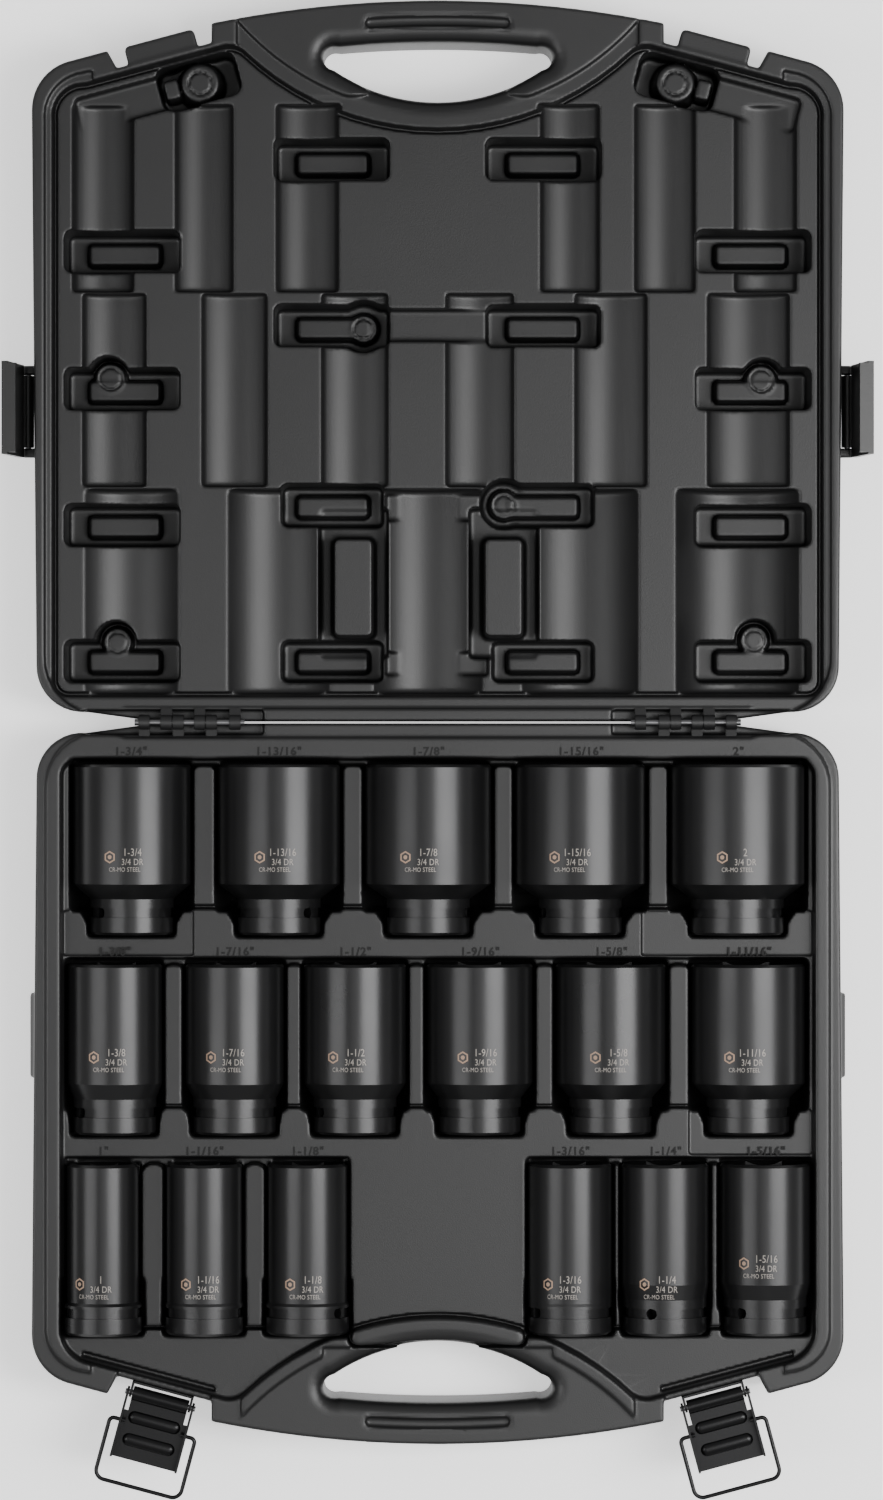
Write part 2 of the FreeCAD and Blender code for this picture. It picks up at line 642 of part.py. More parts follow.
def latch_bail(side):
    """Wire loop, pivoted in the lever's flanges and reaching past its free end."""
    bar = BAIL_SPAN / 2 - BAIL_BEND_R
    edges = bail_side(-1) + bail_side(1)
    edges.append(Part.LineSegment(point(-bar, BAIL_LEG), point(bar, BAIL_LEG)).toShape())
    path = Part.Wire(Part.sortEdges(edges)[0])
    profile = Part.Wire(Part.Circle(path.OrderedVertexes[0].Point, X_AXIS, WIRE_R).toShape())
    bail = path.makePipeShell([profile], True, True)
    pivot = point(0, LATCH_PIVOT_OUT + BAIL_OUT, LATCH_PIVOT_Z + BAIL_RISE)
    return to_latch(bail.translated(pivot), side)


# ---- side clips ------------------------------------------------------------------------
def clip_wall_u():
    """Half width of the case at the clips."""
    return SIDE_U + (SIDE_U_FAR - SIDE_U) * (CLIP_V - 30.0) / 293.0


def clip_mounts():
    """Two ears on each side of the lid that carry the clip's pin."""
    wall = clip_wall_u()
    pivot_u = wall + CLIP_PIVOT_OUT
    mounts = []
    for side in (-1, 1):
        for v0 in (CLIP_V - CLIP_LENGTH / 2, CLIP_V + CLIP_LENGTH / 2 - CLIP_EAR):
            low, high = CLIP_PIVOT_Z - CLIP_BARREL_R, CLIP_PIVOT_Z + CLIP_BARREL_R
            ear = box(wall - CLIP_SHEET, pivot_u, v0, v0 + CLIP_EAR, low, high)
            eye = rod(CLIP_BARREL_R, point(pivot_u, v0, CLIP_PIVOT_Z),
                      point(pivot_u, v0 + CLIP_EAR, CLIP_PIVOT_Z))
            bore = rod(CLIP_PIN_R, point(pivot_u, v0 - 1, CLIP_PIVOT_Z),
                       point(pivot_u, v0 + CLIP_EAR + 1, CLIP_PIVOT_Z))
            mounts.append(mirrored(ear.fuse(eye).cut(bore), side))
    return mounts


def clip_ledges():
    """Ridge on each side of the base that the clip's hook catches under."""
    inner = clip_wall_u() - CLIP_SHEET
    outer = clip_wall_u() + LEDGE_REACH
    half = CLIP_LENGTH / 2 - 2.0
    corners = [
        (inner, LEDGE_LOW_Z), (outer, LEDGE_LOW_Z),
        (outer, LEDGE_LOW_Z + LEDGE_FACE), (inner, LEDGE_TOP_Z),
    ]
    wire = Part.makePolygon([point(u, CLIP_V - half, z) for u, z in corners + corners[:1]])
    ridge = Part.Face(wire).extrude(point(0, 2 * half, 0))
    return [mirrored(ridge, side) for side in (-1, 1)]


def side_clip(side):
    """Snap clip, leaning out: a barrel on the pin, an upright plate and a hook."""
    pivot_u = clip_wall_u() + CLIP_PIVOT_OUT
    v0, v1 = CLIP_V - CLIP_LENGTH / 2, CLIP_V + CLIP_LENGTH / 2
    inner_v0, inner_v1 = v0 + CLIP_EAR + 0.4, v1 - CLIP_EAR - 0.4
    plate_u = pivot_u + 1.0
    outer_u = plate_u + CLIP_SHEET
    shapes = [
        rod(CLIP_BARREL_R, point(pivot_u, inner_v0, CLIP_PIVOT_Z), point(pivot_u, inner_v1, CLIP_PIVOT_Z)),
        box(pivot_u, outer_u, inner_v0, inner_v1, CLIP_PIVOT_Z, CLIP_PIVOT_Z + 6.0),
        box(plate_u, outer_u, v0, v1, CLIP_PIVOT_Z + 5.0, CLIP_TOP_Z),
        box(plate_u - CLIP_HOOK, outer_u, v0 + 1.0, v1 - 1.0, CLIP_TOP_Z - CLIP_HOOK_SHEET, CLIP_TOP_Z),
    ]
    bore = rod(CLIP_PIN_R + RUNNING_FIT, point(pivot_u, v0 - 1, CLIP_PIVOT_Z),
               point(pivot_u, v1 + 1, CLIP_PIVOT_Z))
    clip = fuse(shapes).cut(bore)
    clip.rotate(point(pivot_u, 0, CLIP_PIVOT_Z), Y_AXIS, CLIP_LEAN)
    return to_lid(mirrored(clip, side))


def clip_pin(side):
    pivot_u = clip_wall_u() + CLIP_PIVOT_OUT
    half = CLIP_LENGTH / 2
    pin = rod(CLIP_PIN_R, point(pivot_u, CLIP_V - half, CLIP_PIVOT_Z),
              point(pivot_u, CLIP_V + half, CLIP_PIVOT_Z))
    return to_lid(mirrored(pin, side))


# ---- every node ------------------------------------------------------------------------
def placed_socket(size, row, u, pin_turn):
    shape = make_socket(size, pin_turn).translated(point(u, mouth_v(row), axis_z(size)))
    return to_base(shape)


def all_nodes():
    nodes = {"base_shell": base_shell(), "lid_shell": lid_shell()}
    for name, size, row, u, pin_turn in SOCKETS:
        nodes[name] = placed_socket(size, row, u, pin_turn)
    paired = {
        "hinge_pin": hinge_pin, "latch_bracket": latch_bracket, "latch_rivets": latch_rivets,
        "lever_pin": lever_pin, "latch_lever": latch_lever, "latch_bail": latch_bail,
        "side_clip": side_clip, "clip_pin": clip_pin,
    }
    for name, make in paired.items():
        nodes[name + "_left"] = make(-1)
        nodes[name + "_right"] = make(1)
    return nodes


os.makedirs("parts", exist_ok=True)
for node, shape in all_nodes().items():
    shape.exportStep("parts/" + node + ".step")
    size = shape.BoundBox
    print(node, len(shape.Solids), shape.isValid(), round(shape.Volume / 1000, 2), "cm3",
          [round(c, 1) for c in (size.XMin, size.XMax, size.YMin, size.YMax, size.ZMin, size.ZMax)])
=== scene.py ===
import json
import math
import bmesh
import bpy
import numpy as np
from mathutils import Matrix, Vector


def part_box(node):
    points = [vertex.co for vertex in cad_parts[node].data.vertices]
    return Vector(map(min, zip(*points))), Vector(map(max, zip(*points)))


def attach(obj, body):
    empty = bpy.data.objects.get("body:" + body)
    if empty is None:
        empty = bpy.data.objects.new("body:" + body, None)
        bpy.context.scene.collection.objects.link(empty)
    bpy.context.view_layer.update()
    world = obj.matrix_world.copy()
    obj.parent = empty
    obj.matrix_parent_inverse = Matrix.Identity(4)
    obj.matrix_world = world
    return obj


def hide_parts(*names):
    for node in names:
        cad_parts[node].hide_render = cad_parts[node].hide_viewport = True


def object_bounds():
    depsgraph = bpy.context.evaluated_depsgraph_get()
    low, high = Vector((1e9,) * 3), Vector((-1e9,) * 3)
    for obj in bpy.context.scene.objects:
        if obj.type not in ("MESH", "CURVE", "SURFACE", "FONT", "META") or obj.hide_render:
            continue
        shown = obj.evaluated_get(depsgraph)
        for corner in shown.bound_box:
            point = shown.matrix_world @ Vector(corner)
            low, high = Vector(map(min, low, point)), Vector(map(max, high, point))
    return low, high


# Looks of an open socket set. Each case half is one smooth moulded skin, made as a
# distance field in the half's own plan: u runs along X from the middle, v runs from
# the hinge line towards the handle and z runs up from the outer face, in millimetres.

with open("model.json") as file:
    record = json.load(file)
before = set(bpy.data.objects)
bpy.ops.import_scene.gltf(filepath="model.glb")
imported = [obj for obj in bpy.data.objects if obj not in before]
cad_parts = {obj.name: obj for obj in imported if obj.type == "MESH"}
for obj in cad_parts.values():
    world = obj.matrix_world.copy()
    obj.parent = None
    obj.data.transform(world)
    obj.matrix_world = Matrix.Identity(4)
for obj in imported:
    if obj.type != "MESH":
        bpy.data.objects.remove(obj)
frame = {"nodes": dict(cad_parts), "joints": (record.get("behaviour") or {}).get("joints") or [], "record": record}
size_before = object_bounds()

MM = 0.001
HINGE = next(j for j in frame["joints"] if j["name"] == "lid_hinge")["pos_m"]
HINGE_Y = HINGE[1] / MM
SHUT_Z = 2 * HINGE[2] / MM      # heights of the two halves add up to this when shut
CELL = 1.15          # edge of one cell of the distance grids
MAX_FACES = 190000  # of one case half, after thinning

RIM_Z = 50.0                    # the flat rim of each half
LIP_Z = 51.6                    # the base's raised lip, inside the rim
BASE_PLATEAU_Z = 44.0
LID_PLATEAU_Z = 43.0
WALL_ANGLE = math.radians(15.0)     # the two latch walls slant by this much
WALL_U, WALL_V = 169.5, 345.6   # where the latch wall starts, beside the corner
WALL_THICKNESS = 3.3
SIDE_U, SIDE_U_FAR = 212.0, 214.5   # half width at v 30 and at v 323
HANDLE_END_U = 119.5            # where the handle leaves the latch wall
HANDLE_V, HANDLE_R = 381.3, 601.0   # outer edge of the handle
FINGER_V_IN, FINGER_R_IN = 328.3, 98.9
FINGER_V_OUT = 359.5
ARCH_V, ARCH_R = 314.0, 148.0   # arched wall round the finger hole
ARCH_LIP_WIDTH = 7.4
LATCH_U = 145.0                 # middle of each latch
LATCH_WALL_Z = 46.5             # the wall is lower there
CLIP_V = 165.5                  # middle of each side clip
BASE_TRAY, LID_TRAY = (199.0, 19.6), (203.8, 13.2)      # half width, and v at the hinge
FIRST_ROW_V, ROW_PITCH = 22.3, 105.5    # mouths of the sockets, row by row
HINGE_RECESS_U, HINGE_RECESS_V = (92.0, 186.0), 6.4
HINGE_RECESS_DEPTH = 8.0        # under the hinge line
GRID_LOW, BASE_GRID_HIGH, LID_GRID_HIGH = (-224.0, -4.0, -2.0), (224.0, 384.0, 54.0), (224.0, 386.0, 54.0)
NOWHERE = 20.0                  # distance that means no surface is near

SOCKETS = sorted(n for n in frame["nodes"] if n.startswith("socket_"))


# ---- plan shapes ------------------------------------------------------------------
def arc_v(u, apex, radius):
    sag = abs(radius) - math.sqrt(radius ** 2 - u ** 2)
    return apex + math.copysign(sag, radius)


def wall_v(u):
    """v of the slanted latch wall's outer face."""
    return WALL_V + (WALL_U - u) * math.tan(WALL_ANGLE)


def arc(start, middle, end, steps=10):
    """Points on the circle from start through middle to end, without start itself."""
    a, b, c = complex(*start), complex(*middle), complex(*end)
    w = (c - a) / (b - a)
    centre = (b - a) * (w - abs(w) ** 2) / (w - w.conjugate()) + a
    first = a - centre
    turn = math.atan2(((c - centre) / first).imag, ((c - centre) / first).real)
    half = math.atan2(((b - centre) / first).imag, ((b - centre) / first).real)
    if turn * half < 0 or abs(half) > abs(turn):
        turn -= math.copysign(2 * math.pi, turn)
    points = [centre + first * complex(math.cos(turn * k / steps), math.sin(turn * k / steps))
              for k in range(1, steps + 1)]
    return [(p.real, p.imag) for p in points]


def path(start, *steps):
    """Polyline. A step is (end,) or (point on the arc, end)."""
    points = [start]
    for step in steps:
        points += [step[0]] if len(step) == 1 else arc(points[-1], step[0], step[1])
    return points


def both_sides(points):
    """Closed plan whose right side is given and whose left side mirrors it."""
    return points + [(-u, v) for u, v in reversed(points)]


def handle_arc(u, apex=HANDLE_V):
    return (u, arc_v(u, apex, -HANDLE_R))


def outer_plan():
    return both_sides(path(
        (0.0, 0.6), ((150.0, 0.6),), ((186.0, 5.5),),
        ((205.0, 12.6), (SIDE_U, 30.0)), ((SIDE_U_FAR, 323.0),),
        ((208.0, 341.0), (193.0, 349.7)), ((174.5, 354.7),), ((WALL_U, WALL_V),),
        ((HANDLE_END_U, wall_v(HANDLE_END_U)),), (handle_arc(HANDLE_END_U),),
        (handle_arc(HANDLE_END_U / 2), (0.0, HANDLE_V))))


def tray_plan(side_u, hinge_v):
    """Sunken tray: it follows the latch walls and arches round the finger hole."""
    def inner(u):
        return wall_v(u) - WALL_THICKNESS

    def arch(u):
        return (u, arc_v(u, ARCH_V, ARCH_R))
    return both_sides(path(
        (0.0, hinge_v), ((side_u - 9.0, hinge_v),),
        ((side_u - 2.6, hinge_v + 2.6), (side_u, hinge_v + 9.0)), ((side_u, 318.0),),
        ((side_u - 4.0, 332.0), (186.0, inner(186.0))), ((113.0, inner(113.0)),),
        ((108.5, 357.6), arch(102.0)), (arch(55.0), arch(0.0))))


def lip_plan():
    """Rim inside the step that runs round the base."""
    return both_sides(path(
        (0.0, 8.0), ((165.0, 8.0),), ((199.0, 14.0), (207.0, 36.0)), ((207.0, 318.0),),
        ((203.0, 333.0), (190.0, 342.0)), ((183.0, 343.4),), ((183.0, 330.0),), ((0.0, 330.0),)))


def finger_plan():
    def inner(u):
        return (u, arc_v(u, FINGER_V_IN, FINGER_R_IN))

    def outer(u):
        return handle_arc(u, FINGER_V_OUT)
    return both_sides(path(
        inner(0.0), (inner(28.0), inner(55.0)), ((60.5, 352.4), outer(52.0)), (outer(26.0), outer(0.0))))


# ---- distance fields ----------------------------------------------------------------
def smooth_min(a, b, k):
    h = np.maximum(k - np.abs(a - b), 0.0) / k
    return np.minimum(a, b) - h * h * k / 4


def smooth_max(a, b, k):
    return -smooth_min(-a, -b, k)


def arch_distance(u, v):
    """Distance outwards from the arched wall's face, towards the handle."""
    return ARCH_R - np.hypot(u, v - ARCH_V - ARCH_R)


def plan_distance(points, u, v):
    """Signed distance to a closed plan, negative inside."""
    best = np.full(np.broadcast(u, v).shape, 1e9)
    inside = np.zeros(best.shape, bool)
    for (u0, v0), (u1, v1) in zip(points, points[1:] + points[:1]):
        du, dv = u1 - u0, v1 - v0
        length = du * du + dv * dv
        if length < 1e-9:
            continue
        t = np.clip(((u - u0) * du + (v - v0) * dv) / length, 0, 1)
        best = np.minimum(best, (u - u0 - t * du) ** 2 + (v - v0 - t * dv) ** 2)
        crosses = (v0 > v) != (v1 > v)
        if dv:
            inside ^= crosses & (u < u0 + (v - v0) * du / dv)
    return np.where(inside, -1, 1) * np.sqrt(best)


def slab(u, v, u0, u1, v0, v1, corner=2.0):
    """Plan distance to a rectangle with rounded corners."""
    a = np.abs(u - (u0 + u1) / 2) - (u1 - u0) / 2 + corner
    b = np.abs(v - (v0 + v1) / 2) - (v1 - v0) / 2 + corner
    return np.hypot(np.maximum(a, 0), np.maximum(b, 0)) + np.minimum(np.maximum(a, b), 0) - corner


class Field:
    """Distance field on a grid. Positive is outside the plastic."""

    def __init__(self, lo, hi, cell):
        self.cell = cell
        self.axes = [np.arange(a, b + cell, cell) for a, b in zip(lo, hi)]
        self.u = self.axes[0][:, None, None]
        self.v = self.axes[1][None, :, None]
        self.z = self.axes[2][None, None, :]
        shape = tuple(len(a) for a in self.axes)
        self.solid = np.full(shape, NOWHERE, np.float32)
        self.room = np.full(shape, NOWHERE, np.float32)

    def origin(self):
        return np.array([a[0] for a in self.axes])

    def window(self, u0, u1, v0, v1, margin=6.0):
        """Grid slices and coordinates round a plan rectangle."""
        i = np.searchsorted(self.axes[0], [u0 - margin, u1 + margin])
        j = np.searchsorted(self.axes[1], [v0 - margin, v1 + margin])
        part = (slice(i[0], i[1]), slice(j[0], j[1]), slice(None))
        return part, self.u[part[0]], self.v[:, part[1]]

    def add(self, part, distance, k):
        self.solid[part] = smooth_min(self.solid[part], distance, k)

    def hollow(self, part, distance, k=1.6):
        self.room[part] = smooth_min(self.room[part], distance, k)

    def recess(self, u0, u1, v0, v1, floor, corner=3.0, draft=0.03, fillet=2.5, k=1.2):
        """Pocket with a flat floor and drafted walls."""
        part, u, v = self.window(u0, u1, v0, v1)
        side = slab(u, v, u0, u1, v0, v1, corner) + (RIM_Z - self.z) * draft
        self.hollow(part, smooth_max(side, floor - self.z, fillet), k)

    def trough(self, u, v0, v1, axis, radius, k=1.2, fillet=3.0, side=None):
        """Round-bottomed pocket along v, open at the top. Side walls are drafted."""
        part, uu, vv = self.window(u - radius, u + radius, v0, v1)
        across = np.abs(uu - u)
        round_part = np.hypot(across, np.minimum(self.z - axis, 0.0)) - radius
        if side:
            wall = (across - side - (self.z - LID_PLATEAU_Z) * 0.35) * 0.94
            round_part = smooth_max(round_part, wall, 0.8)
        ends = np.maximum(v0 - vv, vv - v1) + (RIM_Z - self.z) * 0.03
        self.hollow(part, smooth_max(round_part, ends, fillet), k)


def edge_slices(axis, rest):
    """The grid's points at the low ends, and at the high ends, of all edges along one axis."""
    low, high = [rest] * 3, [rest] * 3
    low[axis], high[axis] = slice(0, -1), slice(1, None)
    return tuple(low), tuple(high)


def cell_crossings(values, inside):
    """For each cell, the sum and the number of the places where its edges cross the surface."""
    cells = tuple(n - 1 for n in values.shape)
    total = np.zeros(cells + (3,), np.float32)
    count = np.zeros(cells, np.float32)
    for axis in range(3):
        low, high = edge_slices(axis, slice(None))
        a, b = values[low], values[high]
        mixed = inside[low] != inside[high]
        t = np.where(mixed, a / np.where(mixed, a - b, 1), 0)
        others = [k for k in range(3) if k != axis]
        for shifts in np.ndindex(2, 2):
            pick = [slice(None)] * 3
            for k, shift in zip(others, shifts):
                pick[k] = slice(shift, shift + cells[k])
            m = mixed[tuple(pick)]
            count += m
            total[..., axis] += t[tuple(pick)] * m
            for k, shift in zip(others, shifts):
                total[..., k] += shift * m
    return total, count


def cell_quads(inside, index):
    """A quad round each edge that crosses the surface, between the four cells that share it."""
    quads = []
    for axis in range(3):
        low, high = edge_slices(axis, slice(1, -1))
        crossing = inside[low] != inside[high]
        starts = inside[low][crossing]
        others = [k for k in range(3) if k != axis]
        base = np.argwhere(crossing)
        base[:, others] += 1
        corners = []
        for shift in ((-1, -1), (0, -1), (0, 0), (-1, 0)):
            corner = base.copy()
            corner[:, others] += shift
            corners.append(index[tuple(corner.T)])
        quad = np.stack(corners, 1)
        turned = ~starts if axis != 1 else starts
        quad[turned] = quad[turned][:, ::-1]
        quads.append(quad)
    return np.concatenate(quads)


def surface(field):
    """Vertices and quads where the solid's distance is zero, one vertex per mixed cell."""
    inside = field.solid < 0
    total, count = cell_crossings(field.solid, inside)
    used = count > 0
    index = np.full(count.shape, -1, np.int64)
    index[used] = np.arange(int(used.sum()))
    points = np.argwhere(used) + total[used] / count[used][:, None]
    return field.origin() + points * field.cell, cell_quads(inside, index)


def sample(field, points):
    """Distance and slope of the solid at points, by trilinear interpolation."""
    g = (points - field.origin()) / field.cell
    i = np.clip(np.floor(g).astype(int), 0, np.array(field.solid.shape) - 2)
    f = g - i
    total = np.zeros(len(points))
    slope = np.zeros((len(points), 3))
    for corner in np.ndindex(2, 2, 2):
        c = np.array(corner)
        w = np.where(c, f, 1 - f)
        value = field.solid[tuple((i + c).T)]
        total += value * w.prod(1)
        for k in range(3):
            rest = np.delete(w, k, 1).prod(1)
            slope[:, k] += value * rest * (1 if c[k] else -1)
    return total, slope / field.cell


# ---- base half ----------------------------------------------------------------------
def plan_box(node):
    """A base node's box in the plan: u0, u1, v0, v1, z0, z1."""
    lo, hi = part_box(node)
    return (lo.x / MM, hi.x / MM, HINGE_Y - hi.y / MM, HINGE_Y - lo.y / MM, lo.z / MM, hi.z / MM)


def row_of(node):
    """Row of a socket, counted from the hinge."""
    return round((plan_box(node)[2] - FIRST_ROW_V) / ROW_PITCH)


def body_radius(node):
    """Radii at the mouth end and at the drive end, from the mesh."""
    u0, u1, v0, v1, _, _ = plan_box(node)
    middle, drive_end = (u0 + u1) / 2, 12.0
    mouth = drive = 0.0
    for vertex in frame["nodes"][node].data.vertices:
        v = HINGE_Y - vertex.co.y / MM
        reach = abs(vertex.co.x / MM - middle)
        if v < (v0 + v1) / 2:
            mouth = max(mouth, reach)
        elif v >= v1 - drive_end:
            drive = max(drive, reach)
    return mouth, drive


RADII = {n: body_radius(n) for n in SOCKETS}


def socket_axis(node):
    """u and z of a socket's axis, and v of its mouth and of its drive end."""
    u0, u1, v0, v1, z0, z1 = plan_box(node)
    return (u0 + u1) / 2, (z0 + z1) / 2, v0, v1


def blank(field):
    """Outer block of one half: rounded rim edge, larger round at the outer face."""
    plan = plan_distance(outer_plan(), field.u, field.v)
    side = plan + np.maximum(14.0 - field.z, 0) ** 2 * 0.012
    groove = 0.7 - np.hypot(field.z - 37.0, plan)
    side = smooth_max(side, groove, 0.8)
    body = smooth_max(side, -field.z, 5.0)
    field.solid = smooth_max(body, field.z - RIM_Z, 1.4).astype(np.float32)
    return plan


def outer_panels(field, plan):
    """Sunken panels and ribs moulded into the outer face."""
    handle = slab(field.u, field.v, -HANDLE_END_U, HANDLE_END_U, 322.0, 400.0, 8.0)
    inside = smooth_max(plan + 16.0, -handle + 6.0, 12.0)
    panel = smooth_max(inside, field.z - 1.3, 1.5)
    centre = slab(field.u, field.v, -92.0, 92.0, 112.0, 206.0, 10.0)
    panel = smooth_max(panel, -centre, 2.5)
    plate = smooth_max(centre + 9.0, field.z - 1.0, 1.0)
    room = np.minimum(panel, plate)
    for u in (-150.0, -110.0, 110.0, 150.0):
        rib = slab(field.u, field.v, u - 3.5, u + 3.5, 52.0, 288.0, 3.5)
        room = smooth_max(room, -rib, 2.0)
    field.room = smooth_min(field.room, room, 1.0)


def finger_hole(field):
    part, u, v = field.window(-60.0, 60.0, 320.0, 366.0, 14.0)
    hole = plan_distance(finger_plan(), u, v)
    field.solid[part] = smooth_max(field.solid[part], -hole, 9.0)


def grip_slot(field):
    part, u, v = field.window(-42.0, 42.0, 362.0, 376.0)
    bend = v + u ** 2 / (2 * HANDLE_R)
    slot = slab(u, bend, -39.0, 39.0, 366.9, 373.8, 3.4)
    ring = np.abs(slot) - 0.5
    field.hollow(part, smooth_max(smooth_max(slot, RIM_Z - 1.5 - field.z, 1.0), 0.6 - ring, 0.6), 0.8)
    field.hollow(part, smooth_max(slot + 1.6, RIM_Z - 2.2 - field.z, 1.0), 0.8)


def base_field():
    field = Field(GRID_LOW, BASE_GRID_HIGH, CELL)
    plan = blank(field)
    lip = plan_distance(lip_plan(), field.u, field.v)
    raised = smooth_max(smooth_max(lip, field.z - LIP_Z, 1.2), 46.0 - field.z, 1.0)
    field.solid = smooth_min(field.solid, raised, 0.8).astype(np.float32)
    arch_lips(field)
    tray = plan_distance(tray_plan(*BASE_TRAY), field.u, field.v)
    tray = smooth_max(tray + (RIM_Z - field.z) * 0.06, BASE_PLATEAU_Z - field.z, 1.6)
    field.room = tray.astype(np.float32)
    outer_panels(field, plan)
    base_pockets(field)
    base_relief(field)
    hinge_recess(field)
    latch_notch(field)
    grip_slot(field)
    clip_ledge(field)
    field.solid = smooth_max(field.solid, -field.room, 1.5)
    finger_hole(field)
    return field


def arch_lips(field):
    """Three raised lips along the arched wall."""
    part, u, v = field.window(-110.0, 110.0, 306.0, 366.0)
    from_arch = arch_distance(u, v)
    band = np.maximum(-from_arch, from_arch - ARCH_LIP_WIDTH)
    height = np.maximum(field.z - LIP_Z, 46.0 - field.z)
    for u0, u1 in ((-104.0, -60.5), (-43.0, 43.0), (60.5, 104.0)):
        ends = np.maximum(u0 - u, u - u1)
        block = smooth_max(smooth_max(band, ends, 2.0), height, 1.4)
        field.add(part, np.where(v < ARCH_V + ARCH_R, block, NOWHERE), 0.8)


def base_pockets(field):
    for node in SOCKETS:
        u, axis, v0, v1 = socket_axis(node)
        mouth_r, drive_r = RADII[node]
        field.trough(u, v0 - 3.0, v0 + 78.0, axis, mouth_r + 1.3)
        field.trough(u, v0 + 60.0, v1 + 1.6, axis, drive_r + 1.5)
        shoulder(field, u, v0 + 76.0, axis, mouth_r + 1.3, drive_r + 1.5)


def shoulder(field, u, v, axis, wide, narrow):
    """Cone between the pocket's two widths."""
    part, uu, vv = field.window(u - wide, u + wide, v - 12.0, v + 12.0)
    radius = np.clip((v + 8.0 - vv) / 16.0, 0, 1) * (wide - narrow) + narrow
    cone = np.hypot(uu - u, np.minimum(field.z - axis, 0.0)) - radius
    field.hollow(part, np.maximum(cone, np.abs(vv - v) - 8.0), 1.2)


WIDEST_FIN = 40.0               # a wider gap between two sockets is the blank block
# lowered stretches of the plateaus between the rows: u0, u1, v0, v1
PLATEAU_STEPS = [
    (-198.0, -129.3, 99.5, 123.5), (107.9, 198.0, 99.5, 123.5), (132.8, 198.0, 205.0, 228.5),
]


def row_relief(field, row, nodes):
    """Channel along a row's mouths, and slits and rounded fins between its sockets."""
    mouth = min(socket_axis(n)[2] for n in nodes)
    low = 30.0 if row else 26.0
    for group in [nodes] if row < 2 else [nodes[:3], nodes[3:]]:
        u0, u1 = plan_box(group[0])[0], plan_box(group[-1])[1]
        field.recess(u0, u1, mouth - 3.0, mouth + 0.4, low, 1.5, 0.0, 1.5, 0.8)
    for left, right in zip(nodes, nodes[1:]):
        u0, u1 = plan_box(left)[1] - 0.5, plan_box(right)[0] + 0.5
        if u1 - u0 > WIDEST_FIN:
            continue
        v0 = mouth + (74.5 if row < 2 else 86.0)
        field.recess(u0 - 2.0, u1 + 2.0, v0, v0 + 1.7, 36.0, 0.6, 0.0, 0.8, 0.6)
        fin_rounds(field, u0, u1, mouth)


def base_relief(field):
    """Channels between the rows, the blank block and the groove along the walls."""
    rows = {}
    for node in SOCKETS:
        rows.setdefault(row_of(node), []).append(node)
    for row, nodes in rows.items():
        nodes.sort(key=lambda n: socket_axis(n)[0])
        row_relief(field, row, nodes)
    part, u, v = field.window(-50.0, 54.0, 228.0, 324.0)
    block = slab(u, v, -46.5, 46.5, 233.0, 330.0, 5.0)
    arch = ARCH_R + 2.6 - np.hypot(u, v - ARCH_V - ARCH_R)
    block = smooth_max(block, -arch + 2.0, 3.0)
    ring = np.abs(block) - 0.9
    field.hollow(part, smooth_max(ring, 39.0 - field.z, 1.0), 0.8)
    for u0, u1, v0, v1 in PLATEAU_STEPS:
        field.recess(u0, u1, v0, v1, BASE_PLATEAU_Z - 1.3, 1.5, 0.0, 0.6, 0.5)
    wall_groove(field)


def fin_rounds(field, u0, u1, mouth):
    """Rounds the end of the fin between two sockets."""
    half = (u1 - u0) / 2
    if half > 12.0:
        return
    part, u, v = field.window(u0 - 1.0, u1 + 1.0, mouth, mouth + half, 4.0)
    middle = (u0 + u1) / 2
    outside = half - np.hypot(u - middle, v - mouth - half)
    corner = np.maximum(outside, v - mouth - half)
    corner = np.maximum(corner, np.maximum(mouth - v, np.abs(u - middle) - half - 0.5))
    field.hollow(part, smooth_max(corner, 30.0 - field.z, 1.5), 0.8)


def wall_groove(field):
    """Dark groove at the foot of the latch walls."""
    part, u, v = field.window(-200.0, 200.0, 308.0, 364.0)
    slant = (wall_v(0) - np.abs(u) * math.tan(WALL_ANGLE) - v) * math.cos(WALL_ANGLE)
    band = np.abs(slant - 6.4) - 1.2
    band = np.maximum(band, np.maximum(118.0 - np.abs(u), np.abs(u) - 188.0))
    field.hollow(part, smooth_max(band, BASE_PLATEAU_Z - 4.0 - field.z, 1.0), 0.8)


def hinge_recess(field):
    for side in (-1, 1):
        u0, u1 = sorted(side * u for u in HINGE_RECESS_U)
        field.recess(u0, u1, -6.0, HINGE_RECESS_V, SHUT_Z / 2 - HINGE_RECESS_DEPTH, 1.0, 0.0, 1.0, 0.8)


def latch_space(u, v, side):
    """A latch's own axes: along the wall and out of it."""
    c, s = math.cos(WALL_ANGLE), math.sin(WALL_ANGLE)
    du, dv = -side * u + LATCH_U, v - wall_v(LATCH_U)
    return du * c + dv * s, dv * c - du * s


def latch_notch(field):
    """Lowered stretch of the latch wall."""
    for side in (-1, 1):
        u0, u1 = sorted((side * (LATCH_U - 30), side * (LATCH_U + 30)))
        part, u, v = field.window(u0, u1, 335.0, 366.0)
        x, y = latch_space(u, v, side)
        notch = np.maximum(np.abs(x) - 25.3, np.maximum(-4.4 - y, y - 2.5))
        field.hollow(part, smooth_max(notch, LATCH_WALL_Z - field.z, 0.8), 0.8)


def clip_wall():
    """u of the side wall's outer face at the middle of the clip."""
    return SIDE_U + (SIDE_U_FAR - SIDE_U) * (CLIP_V - 30.0) / 293.0


